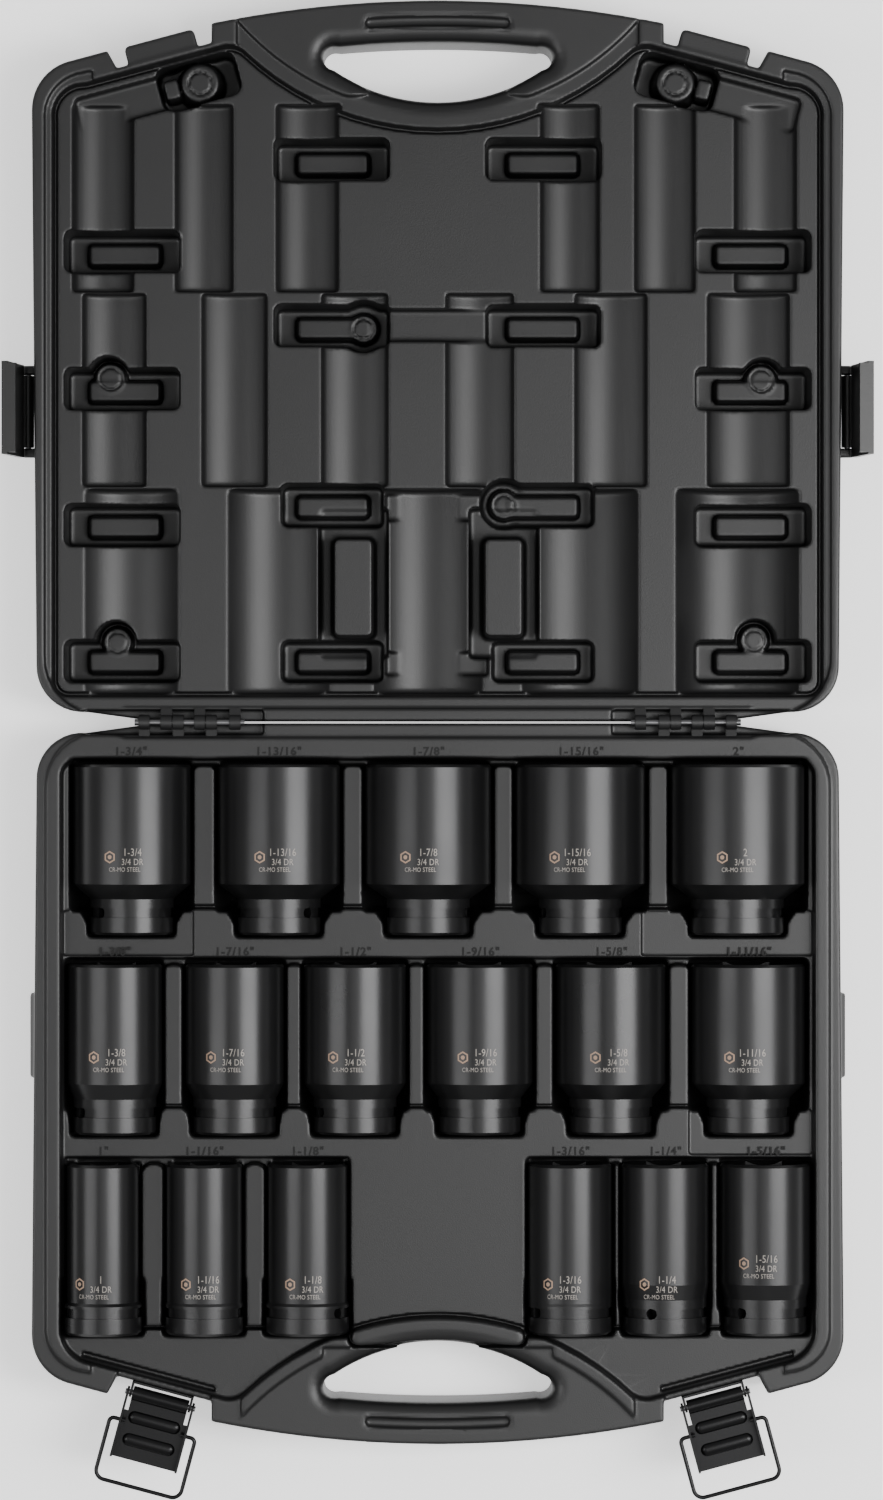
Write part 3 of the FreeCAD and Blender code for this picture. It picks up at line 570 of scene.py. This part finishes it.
def clip_ledge(field):
    """Ledge on the side wall that the clip's hook goes under."""
    wall = clip_wall()
    for side in (-1, 1):
        u0, u1 = sorted((side * (wall - 4), side * (wall + 4)))
        part, u, v = field.window(u0, u1, CLIP_V - 24.0, CLIP_V + 24.0)
        out = side * u - wall
        slope = out - 2.6 + np.maximum(field.z - 41.5, 0) * 0.75
        ridge = smooth_max(slope, np.maximum(39.6 - field.z, field.z - 46.0), 0.8)
        ridge = smooth_max(ridge, np.abs(v - CLIP_V) - 22.4, 1.2)
        field.add(part, np.maximum(ridge, -out - 6.0), 1.0)


# ---- lid half -----------------------------------------------------------------------
def lid_field():
    field = Field(GRID_LOW, LID_GRID_HIGH, CELL)
    plan = blank(field)
    catch_tabs(field)
    clip_ears(field)
    step = plan_distance(lip_plan(), field.u, field.v)
    step = smooth_max(step - 0.5, (RIM_Z - 2.1) - field.z, 0.8)
    field.room = step.astype(np.float32)
    arch_groove(field)
    tray = plan_distance(tray_plan(*LID_TRAY), field.u, field.v)
    sunken = smooth_max(tray + (RIM_Z - field.z) * 0.08, LID_PLATEAU_Z - field.z, 1.6)
    field.room = smooth_min(field.room, sunken, 0.8).astype(np.float32)
    outer_panels(field, plan)
    lid_pockets(field)
    tack_slots(field)
    lid_corners(field)
    lid_links(field)
    hinge_recess(field)
    grip_slot(field)
    tray_groove(field, tray)
    field.solid = smooth_max(field.solid, -field.room, 1.6)
    finger_hole(field)
    return field


def arch_groove(field):
    """Groove along the arched wall that takes the base's lips."""
    part, u, v = field.window(-110.0, 110.0, 306.0, 366.0)
    from_arch = arch_distance(u, v)
    band = np.maximum(np.maximum(-from_arch - 0.3, from_arch - 8.0), np.abs(u) - 106.0)
    groove = smooth_max(band, RIM_Z - 2.1 - field.z, 0.8)
    field.hollow(part, np.where(v < ARCH_V + ARCH_R, groove, NOWHERE), 0.6)


def tray_groove(field, tray):
    """Groove at the foot of the tray's wall, all round."""
    band = np.abs(tray + 1.6) - 0.9
    field.room = smooth_min(field.room, smooth_max(band, 40.0 - field.z, 1.0), 0.8)


LID_ROW_SPANS = [(14.6, 123.6), (124.6, 227.0), (227.6, 327.0)]     # v of the pockets' ends


def lid_pockets(field):
    """Pocket over each socket. Rows after the first have flatter walls and lie a little deeper."""
    for node in SOCKETS:
        u, axis, _, _ = socket_axis(node)
        low, high = LID_ROW_SPANS[row_of(node)]
        radius = max(RADII[node]) + 1.2
        if not row_of(node):
            field.trough(u, low, high, SHUT_Z - axis, radius, 1.0)
            continue
        rise = LID_PLATEAU_Z - SHUT_Z + axis
        field.trough(u, low, high, SHUT_Z - axis - 2.4, radius, 0.8, 2.0,
                     math.sqrt(radius ** 2 - rise ** 2) - 0.6)


TACKS_OUTER = (32.3, 104.4, 176.5, 249.3)
TACKS_INNER = (32.3, 115.0, 210.1, 298.0)
# round swellings of some slots: middle in u and v, radius, and the radius on the bar
SWELLINGS = [
    (-174.6, 183.5, 11.0, 8.0), (-170.8, 43.0, 11.0, 7.5), (172.5, 182.5, 11.0, 8.0),
    (168.8, 44.0, 11.0, 7.5), (-39.5, 210.0, 14.0, 7.4), (35.2, 116.0, 13.0, 7.4),
]


def tack_slots(field):
    """Deep slots that tie the lid's two walls together, each with a narrow floor bar."""
    rooms, bars = [], []    # middle in u and v, half length, half width and corner radius
    for u, rows in ((167.0, TACKS_OUTER), (56.0, TACKS_INNER)):
        for v in rows:
            half = 27.4 if u < 100.0 and v < 200.0 else 30.6
            for side in (-1, 1):
                rooms.append((side * u, v, half, 11.3, 4.0))
                bars.append((side * u, v, 18.8, 5.3, 2.0))
    for u, v, outer, inner in SWELLINGS:
        rooms.append((u, v, outer, outer, outer))
        bars.append((u, v, inner, inner, inner))
    for u, v, a, b, corner in rooms:
        field.recess(u - a, u + a, v - b, v + b, 6.0, corner, 0.012, 3.0, 0.9)
    for u, v, a, b, corner in bars:
        part, uu, vv = field.window(u - a, u + a, v - b, v + b)
        bar = slab(uu, vv, u - a, u + a, v - b, v + b, corner) + (field.z - 15.0) * 0.12
        bar = smooth_max(bar, field.z - 15.0, 1.2)
        field.room[part] = smooth_max(field.room[part], -bar, 1.0)
    for u, v, _, inner in SWELLINGS:
        part, uu, vv = field.window(u - inner, u + inner, v - inner, v + inner)
        ring = np.abs(np.hypot(uu - u, vv - v) - inner + 2.2) - 0.5
        field.hollow(part, smooth_max(ring, 14.3 - field.z, 0.6), 0.5)


def lid_corners(field):
    """Slanted trough in each corner, with a deep well round a disc and a small block."""
    for side in (-1, 1):
        u0, u1 = sorted((side * 100.0, side * 200.0))
        part, u, v = field.window(u0, u1, 300.0, 356.0)
        x, y = latch_space(u, v, side)
        trough = slab(x, y, -52.0, 24.0, -27.5, -9.5, 3.0)
        field.hollow(part, smooth_max(trough, 36.0 - field.z, 2.0), 1.2)
        well = slab(x, y, -7.0, 36.0, -29.0, -5.5, 6.0)
        disc = np.hypot(x - 15.0, y + 17.5) - 10.6 + (field.z - 30.0) * 0.1
        block = slab(x, y, -4.2, 3.6, -22.5, -12.0, 1.5)
        posts = np.minimum(smooth_max(disc, field.z - 34.0, 2.0), smooth_max(block, field.z - 36.0, 1.5))
        dial = np.abs(np.hypot(x - 15.0, y + 17.5) - 6.0) - 0.5
        posts = np.maximum(posts, -np.maximum(dial, 33.2 - field.z))
        deep = smooth_max(well, 12.0 - field.z, 3.0)
        field.hollow(part, smooth_max(deep, -posts, 1.2), 1.2)


def lid_links(field):
    """Channels between the inner tack slots, and a pillar each side of the middle pocket."""
    for v0, v1, floor in ((201.4, 219.0, 33.0), (106.5, 121.4, 31.0), (24.4, 37.8, 31.0)):
        field.recess(-28.0, 27.0, v0, v1, floor, 2.0, 0.03, 2.0, 1.0)
    for middle in (-44.7, 35.0):
        part, u, v = field.window(middle - 18.4, middle + 18.4, 34.0, 114.0)
        moat = slab(u, v, middle - 18.4, middle + 18.4, 34.0, 114.0, 3.0)
        pillar = slab(u, v, middle - 10.0, middle + 10.0, 45.6, 97.0, 3.0)
        walls = smooth_max(moat, -pillar - (field.z - 43.0) * 0.03, 1.2)
        field.hollow(part, smooth_max(walls, 14.0 - field.z, 3.0), 1.0)


def catch_tabs(field):
    """Tabs on the latch walls that the bails pull down on."""
    for side in (-1, 1):
        u0, u1 = sorted((side * (LATCH_U - 24), side * (LATCH_U + 24)))
        part, u, v = field.window(u0, u1, 340.0, 366.0)
        x, y = latch_space(u, v, side)
        tab = slab(x, y, -19.0, 19.0, -8.0, 9.6, 2.6)
        tab = smooth_max(tab, np.maximum(field.z - RIM_Z, 38.1 - field.z), 1.2)
        field.add(part, tab, 1.0)


def clip_ears(field):
    """Ears that hold the side clips' pins."""
    wall = clip_wall()
    for side in (-1, 1):
        for v0 in (CLIP_V - 24.5, CLIP_V + 19.5):
            u0, u1 = sorted((side * (wall - 3), side * (wall + 9)))
            part, u, v = field.window(u0, u1, v0, v0 + 5.0)
            out = side * u - wall
            round_part = np.hypot(np.maximum(out - 5.0, 0), field.z - 20.0) - 3.2
            ear = smooth_max(round_part, np.abs(v - v0 - 2.5) - 2.5, 0.6)
            field.add(part, np.maximum(ear, -out - 4.0), 1.0)


# ---- meshes -------------------------------------------------------------------------
def mesh_object(name, points, faces, smooth=True):
    mesh = bpy.data.meshes.new(name)
    if isinstance(points, np.ndarray):
        points, faces = points.tolist(), faces.tolist()
    mesh.from_pydata(points, [], faces)
    mesh.update()
    if smooth:
        mesh.polygons.foreach_set("use_smooth", [True] * len(mesh.polygons))
    obj = bpy.data.objects.new(name, mesh)
    bpy.context.scene.collection.objects.link(obj)
    return obj


def shell_object(name, field, direction):
    """Skin of a case half: thinned, drawn back onto the surface and given its normals."""
    points, quads = surface(field)
    obj = mesh_object(name, points, quads)
    thin = obj.modifiers.new("thin", "DECIMATE")
    thin.ratio = min(1.0, MAX_FACES / (2.0 * len(quads)))
    bpy.context.view_layer.objects.active = obj
    obj.select_set(True)
    bpy.ops.object.modifier_apply(modifier="thin")
    mesh = obj.data
    co = np.zeros(len(mesh.vertices) * 3, np.float32)
    mesh.vertices.foreach_get("co", co)
    co = co.reshape(-1, 3).astype(float)
    for _ in range(2):
        value, slope = sample(field, co)
        length = np.maximum(np.linalg.norm(slope, axis=1), 0.2)
        step = np.clip(value / length, -0.4, 0.4)
        co -= slope / length[:, None] * step[:, None]
    _, slope = sample(field, co)
    normals = slope / np.maximum(np.linalg.norm(slope, axis=1), 1e-6)[:, None]
    co[:, 1] = HINGE_Y + direction * co[:, 1]
    normals[:, 1] *= direction
    mesh.vertices.foreach_set("co", (co * MM).astype(np.float32).ravel())
    if direction < 0:
        mesh.flip_normals()
    mesh.polygons.foreach_set("use_smooth", [True] * len(mesh.polygons))
    mesh.normals_split_custom_set_from_vertices(normals.tolist())
    mesh.update()
    return obj


# ---- materials ----------------------------------------------------------------------
def noise(tree, place, scale, detail):
    made = tree.nodes.new("ShaderNodeTexNoise")
    made.inputs["Scale"].default_value = scale
    made.inputs["Detail"].default_value = detail
    tree.links.new(place.outputs["Object"], made.inputs["Vector"])
    return made.outputs["Fac"]


def material(name, color, rough, metallic, grain, grain_size, mottle):
    """Finely grained surface whose shade and gloss drift a little. Sizes are repeats per metre."""
    made = bpy.data.materials.new(name)
    made.use_nodes = True
    tree = made.node_tree
    shader = tree.nodes["Principled BSDF"]
    shader.inputs["Base Color"].default_value = (*color, 1)
    shader.inputs["Roughness"].default_value = rough
    shader.inputs["Metallic"].default_value = metallic
    place = tree.nodes.new("ShaderNodeTexCoord")
    cloud = noise(tree, place, 14.0, 5.0)
    fine = noise(tree, place, grain_size, 3.0)
    spread = tree.nodes.new("ShaderNodeMapRange")
    spread.inputs["To Min"].default_value = rough * (1 - mottle)
    spread.inputs["To Max"].default_value = min(1.0, rough * (1 + mottle))
    shade = tree.nodes.new("ShaderNodeMixRGB")
    shade.inputs["Color1"].default_value = (*[c * 0.75 for c in color], 1)
    shade.inputs["Color2"].default_value = (*[c * 1.3 for c in color], 1)
    bump = tree.nodes.new("ShaderNodeBump")
    bump.inputs["Strength"].default_value = grain
    bump.inputs["Distance"].default_value = 0.0002
    for start, end in (
            (cloud, spread.inputs["Value"]), (spread.outputs["Result"], shader.inputs["Roughness"]),
            (cloud, shade.inputs["Fac"]), (shade.outputs["Color"], shader.inputs["Base Color"]),
            (fine, bump.inputs["Height"]), (bump.outputs["Normal"], shader.inputs["Normal"])):
        tree.links.new(start, end)
    return made


def give(obj, made):
    obj.data.materials.clear()
    obj.data.materials.append(made)


# colour, roughness, metallic, grain, grain size, mottle
CASE = material("case_plastic", (0.008, 0.008, 0.0083), 0.42, 0.0, 0.3, 1500.0, 0.12)
CLIP = material("clip_plastic", (0.012, 0.012, 0.012), 0.38, 0.0, 0.2, 900.0, 0.15)
SOCKET = material("socket_black", (0.014, 0.014, 0.0145), 0.3, 0.5, 0.12, 1200.0, 0.25)
LATCH = material("latch_metal", (0.007, 0.007, 0.0075), 0.3, 0.6, 0.2, 700.0, 0.3)
STEEL = material("pin_steel", (0.2, 0.2, 0.205), 0.3, 1.0, 0.1, 1200.0, 0.3)
ETCH = material("etched_mark", (0.3, 0.275, 0.25), 0.6, 0.2, 0.1, 2500.0, 0.2)
BADGE = material("etched_badge", (0.36, 0.24, 0.17), 0.55, 0.3, 0.1, 2500.0, 0.2)
MARK = material("moulded_mark", (0.0025, 0.0025, 0.0025), 0.75, 0.0, 0.2, 1500.0, 0.1)


def paint_hardware():
    for node, obj in frame["nodes"].items():
        if node.startswith("socket_"):
            give(obj, SOCKET)
        elif node.startswith("side_clip"):
            give(obj, CLIP)
        elif node.startswith(("latch_bracket", "latch_lever", "latch_bail")):
            give(obj, LATCH)
        elif not node.endswith("shell"):
            give(obj, STEEL)


# ---- hinge knuckles -----------------------------------------------------------------
BARREL_R, BORE_R, WEB_V = 4.0, 1.78, 7.6
# start and end along u, and the half that carries the knuckle
KNUCKLES = [
    (104.0, 110.0, "lid"), (116.5, 122.4, "base"), (122.7, 128.5, "lid"),
    (134.0, 139.9, "base"), (140.2, 146.3, "lid"), (152.0, 157.8, "base"),
]


def knuckle_outline():
    """Barrel with a web back to the wall, in v and z about the pin."""
    turns = [math.radians(a) for a in range(-8, -271, -6)]
    round_part = [(BARREL_R * math.cos(-a), BARREL_R * math.sin(-a)) for a in turns]
    return round_part + [(0.0, -BARREL_R), (WEB_V, -BARREL_R), (WEB_V, -0.5)]


def knuckle(name, u0, u1, direction):
    """One knuckle as a ring of quads: outer wall, bore and two end faces."""
    outline = knuckle_outline()
    bore = [(BORE_R * a / math.hypot(a, b), BORE_R * b / math.hypot(a, b)) for a, b in outline]
    points = [(u * MM, (HINGE_Y + direction * v) * MM, z * MM + HINGE[2])
              for u in (u0, u1) for v, z in outline + bore]
    count = len(outline)
    faces = []
    for k in range(count):
        n = (k + 1) % count
        faces.append((k, n, n + 2 * count, k + 2 * count))
        faces.append((k + count, k + 3 * count, n + 3 * count, n + count))
        faces.append((k, k + count, n + count, n))
        faces.append((k + 2 * count, n + 2 * count, n + 3 * count, k + 3 * count))
    obj = mesh_object(name, points, faces, False)
    bm = bmesh.new()
    bm.from_mesh(obj.data)
    bmesh.ops.recalc_face_normals(bm, faces=bm.faces)
    sharp = [e for e in bm.edges if len(e.link_faces) == 2 and e.calc_face_angle() > 0.9]
    bmesh.ops.bevel(bm, geom=sharp, offset=0.35 * MM, segments=2, affect="EDGES", clamp_overlap=True)
    bm.to_mesh(obj.data)
    bm.free()
    return obj


def build_knuckles():
    for side in (-1, 1):
        for k, (start, end, half) in enumerate(KNUCKLES):
            u0, u1 = sorted((side * start, side * end))
            direction = 1 if half == "lid" else -1
            obj = knuckle(f"knuckle_{k}_{'right' if side > 0 else 'left'}", u0, u1, direction)
            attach(obj, half)
            give(obj, CASE)


# ---- louvers ------------------------------------------------------------------------
LOUVER_PLACES = (12.6, 24.6)    # from the lever's pin
LOUVER_HALF_LENGTH, LOUVER_HALF_WIDTH, LOUVER_RISE = 14.2, 3.4, 2.0
PLATE_TOP, LOUVER_FOOT = -1.8, -2.4


def joint_place(name):
    return Vector(next(j for j in frame["joints"] if j["name"] == name)["pos_m"])


def louver_points():
    """Rings of a long rounded bump, from its foot to its ridge, in millimetres."""
    rings = [(LOUVER_HALF_WIDTH, LOUVER_FOOT)]
    for step in range(7):
        rise = math.radians(14.0 * step)
        rings.append((LOUVER_HALF_WIDTH * math.cos(rise), PLATE_TOP + LOUVER_RISE * math.sin(rise)))
    straight = LOUVER_HALF_LENGTH - LOUVER_HALF_WIDTH
    outline = [math.radians(15.0 * k + 7.5) for k in range(24)]
    return [[(math.copysign(straight, math.cos(a)) + r * math.cos(a), r * math.sin(a), z)
             for a in outline] for r, z in rings]


def build_louvers():
    """Two pressed louvers on each latch lever."""
    rings = louver_points()
    count = len(rings[0])
    faces = [tuple(reversed(range(count))), tuple(range((len(rings) - 1) * count, len(rings) * count))]
    for k in range(len(rings) - 1):
        for n in range(count):
            m = (n + 1) % count
            faces.append((k * count + n, k * count + m, (k + 1) * count + m, (k + 1) * count + n))
    for side in ("left", "right"):
        pin = joint_place(f"lever_{side}_hinge")
        out = joint_place(f"bail_{side}_hinge") - pin
        out = Vector((out.x, out.y, 0.0)).normalized()
        along = Vector((-out.y, out.x, 0.0))
        for k, place in enumerate(LOUVER_PLACES):
            points = [pin + along * (x * MM) + out * ((place + y) * MM) + Vector((0, 0, z * MM))
                      for ring in rings for x, y, z in ring]
            obj = mesh_object(f"louver_{k}_{side}", [tuple(p) for p in points], faces)
            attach(obj, f"lever_{side}")
            give(obj, LATCH)


# ---- marks --------------------------------------------------------------------------
CAPITAL_SHARE = 0.69            # height of a capital, as a share of the font's size
MARK_NARROWING = 0.8
# along the socket from its mouth to the marks, by row
MARK_START = [44.0, 44.0, 58.0]
MARK_START_ALONE = {"socket_1_5_16in": 47.0}
# words (the first line is the size), height, down from the start, aside from the middle
MARK_LINES = [(None, 3.9, 0.0, 2.6), ("3/4 DR", 3.3, 5.4, 2.6), ("CR-MO STEEL", 2.3, 9.9, -1.6)]


def size_words(node):
    """The size in words, read from the node's name: socket_1_3_4in is 1-3/4."""
    numbers = node[len("socket_"):-len("in")].split("_")
    if len(numbers) == 1:
        return numbers[0]
    return numbers[0] + "-" + "/".join(numbers[1:])


def text_mesh(name, words, height, depth=0.0, spacing=1.0, weight=0.0):
    """Flat or raised words whose capitals have the given height."""
    curve = bpy.data.curves.new(name, "FONT")
    curve.body = words
    curve.space_character = spacing
    curve.offset = weight * height
    curve.size = height / CAPITAL_SHARE
    curve.extrude = depth
    curve.align_x = "CENTER"
    curve.resolution_u = 3
    obj = bpy.data.objects.new(name, curve)
    bpy.context.scene.collection.objects.link(obj)
    bpy.context.view_layer.update()
    graph = bpy.context.evaluated_depsgraph_get()
    mesh = bpy.data.meshes.new_from_object(obj.evaluated_get(graph))
    bpy.data.objects.remove(obj)
    made = bpy.data.objects.new(name, mesh)
    bpy.context.scene.collection.objects.link(made)
    return made


def moulded_labels():
    """Size numbers moulded beside each socket's mouth."""
    for node in SOCKETS:
        u, _, v0, _ = socket_axis(node)
        top, before = (BASE_PLATEAU_Z, 4.6) if row_of(node) else (LIP_Z, 5.0)
        label = text_mesh("label_" + node, size_words(node) + '"', 4.2 * MM, 0.35 * MM, 1.15, 0.035)
        place = Vector((u * MM, (HINGE_Y - v0 + before) * MM, (top + 0.1) * MM))
        label.data.transform(Matrix.Translation(place))
        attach(label, "base")
        give(label, MARK)


def node_body(node):
    """The moving body that a node belongs to."""
    for body, nodes in frame["record"]["behaviour"]["bodies"].items():
        if node in nodes:
            return body
    return None


def wrap(mark, u, axis, along, radius, aside, turn):
    """Lays a flat mark on a socket's round body."""
    bm = bmesh.new()
    bm.from_mesh(mark.data)
    long = [e for e in bm.edges if e.calc_length() > 1.2 * MM]
    bmesh.ops.subdivide_edges(bm, edges=long, cuts=2)
    bm.to_mesh(mark.data)
    bm.free()
    for vertex in mark.data.vertices:
        angle = (vertex.co.x / MM + aside) / radius + turn
        vertex.co = Vector(((u + radius * math.sin(angle)) * MM, (HINGE_Y - along) * MM + vertex.co.y,
                            (axis + radius * math.cos(angle)) * MM))


def badge(name, radius=3.3, width=0.85):
    """Plain nut outline with a dot."""
    points, faces = [], []
    for k in range(6):
        a = math.radians(60 * k + 30)
        for r in (radius, radius - width):
            points.append((r * math.cos(a) * MM, r * math.sin(a) * MM, 0.0))
        n = 2 * ((k + 1) % 6)
        faces.append((2 * k, n, n + 1, 2 * k + 1))
    dot = [(1.1 * math.cos(a / 2) * MM, 1.1 * math.sin(a / 2) * MM, 0.0) for a in range(12)]
    faces.append(tuple(range(12, 24)))
    return mesh_object(name, points + dot, faces, False)


def etched_marks():
    """Light etched marks on each socket: a nut outline, the size, the drive and the steel."""
    for k, node in enumerate(SOCKETS):
        u, axis, mouth, _ = socket_axis(node)
        radius = RADII[node][0] + 0.04
        start = mouth + MARK_START_ALONE.get(node, MARK_START[row_of(node)])
        turn = math.radians(5.0) * math.sin(2.4 * k) - 0.06
        marks = [(badge("badge_" + node), start + 4.6, -9.6, BADGE)]
        for n, (words, height, down, aside) in enumerate(MARK_LINES):
            mark = text_mesh(f"etch_{n}_{node}", words or size_words(node), height * MM, 0.0, 1.05)
            mark.data.transform(Matrix.Diagonal((MARK_NARROWING, 1.0, 1.0, 1.0)))
            marks.append((mark, start + height + down, aside, ETCH))
        for mark, along, aside, made in marks:
            wrap(mark, u, axis, along, radius, aside, turn)
            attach(mark, node_body(node))
            give(mark, made)


# ---- scene --------------------------------------------------------------------------
FLOOR_REACH = 6.0
WORLD_STRENGTH = 0.4
# soft boxes: name, place from the middle of the object, width and watts
LIGHTS = [
    ("overhead", (0.15, -0.5, 2.4), 1.1, 8.0), ("key", (1.2, -0.15, 1.9), 0.6, 47.0),
    ("fill", (-1.5, -0.3, 1.8), 0.5, 16.0),
]
LIGHT_LENGTH = 1.5
LENS, SENSOR = 150.0, 36.0
CAMERA_ASIDE, CAMERA_MORE = 0.002, 0.05


def area_light(name, place, target, width, power):
    data = bpy.data.lights.new(name, "AREA")
    data.energy = power
    data.shape = "RECTANGLE"
    data.size = width
    data.size_y = LIGHT_LENGTH
    light = bpy.data.objects.new(name, data)
    light.location = place
    light.rotation_mode = "QUATERNION"
    light.rotation_quaternion = (place - target).to_track_quat("Z", "Y")
    bpy.context.scene.collection.objects.link(light)


def build_stage():
    lo, hi = size_before
    middle = (lo + hi) / 2
    corners = [(x * FLOOR_REACH, y * FLOOR_REACH, 0) for x, y in ((-1, -1), (1, -1), (1, 1), (-1, 1))]
    floor = mesh_object("floor", corners, [(0, 1, 2, 3)], False)
    give(floor, plain_floor())
    world = bpy.data.worlds.new("studio")
    world.use_nodes = True
    background = world.node_tree.nodes["Background"]
    background.inputs["Color"].default_value = (1, 1, 1, 1)
    background.inputs["Strength"].default_value = WORLD_STRENGTH
    bpy.context.scene.world = world
    middle.z = 0.0
    for name, offset, width, power in LIGHTS:
        area_light(name, middle + Vector(offset), middle, width, power)


def plain_floor():
    """White table that glows a little, like a lit tabletop."""
    made = bpy.data.materials.new("floor")
    made.use_nodes = True
    shader = made.node_tree.nodes["Principled BSDF"]
    shader.inputs["Base Color"].default_value = (0.94, 0.94, 0.94, 1)
    shader.inputs["Roughness"].default_value = 0.9
    shader.inputs["Emission Color"].default_value = (1, 1, 1, 1)
    shader.inputs["Emission Strength"].default_value = 0.8
    return made


def build_camera():
    """Camera straight above, so far off that the object fills the frame's height."""
    lo, hi = size_before
    data = bpy.data.cameras.new("camera")
    data.lens = LENS
    data.sensor_width = SENSOR
    camera = bpy.data.objects.new("camera", data)
    height = (hi.y - lo.y) * LENS / SENSOR + CAMERA_MORE
    camera.location = ((lo.x + hi.x) / 2 + CAMERA_ASIDE, (lo.y + hi.y) / 2, height)
    bpy.context.scene.collection.objects.link(camera)
    bpy.context.scene.camera = camera


def build_shells():
    for node, make, direction in (("base_shell", base_field, -1), ("lid_shell", lid_field, 1)):
        obj = shell_object(node.replace("shell", "moulding"), make(), direction)
        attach(obj, node.split("_")[0])
        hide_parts(node)
        give(obj, CASE)


paint_hardware()
build_shells()
build_knuckles()
build_louvers()
moulded_labels()
etched_marks()
build_stage()
build_camera()
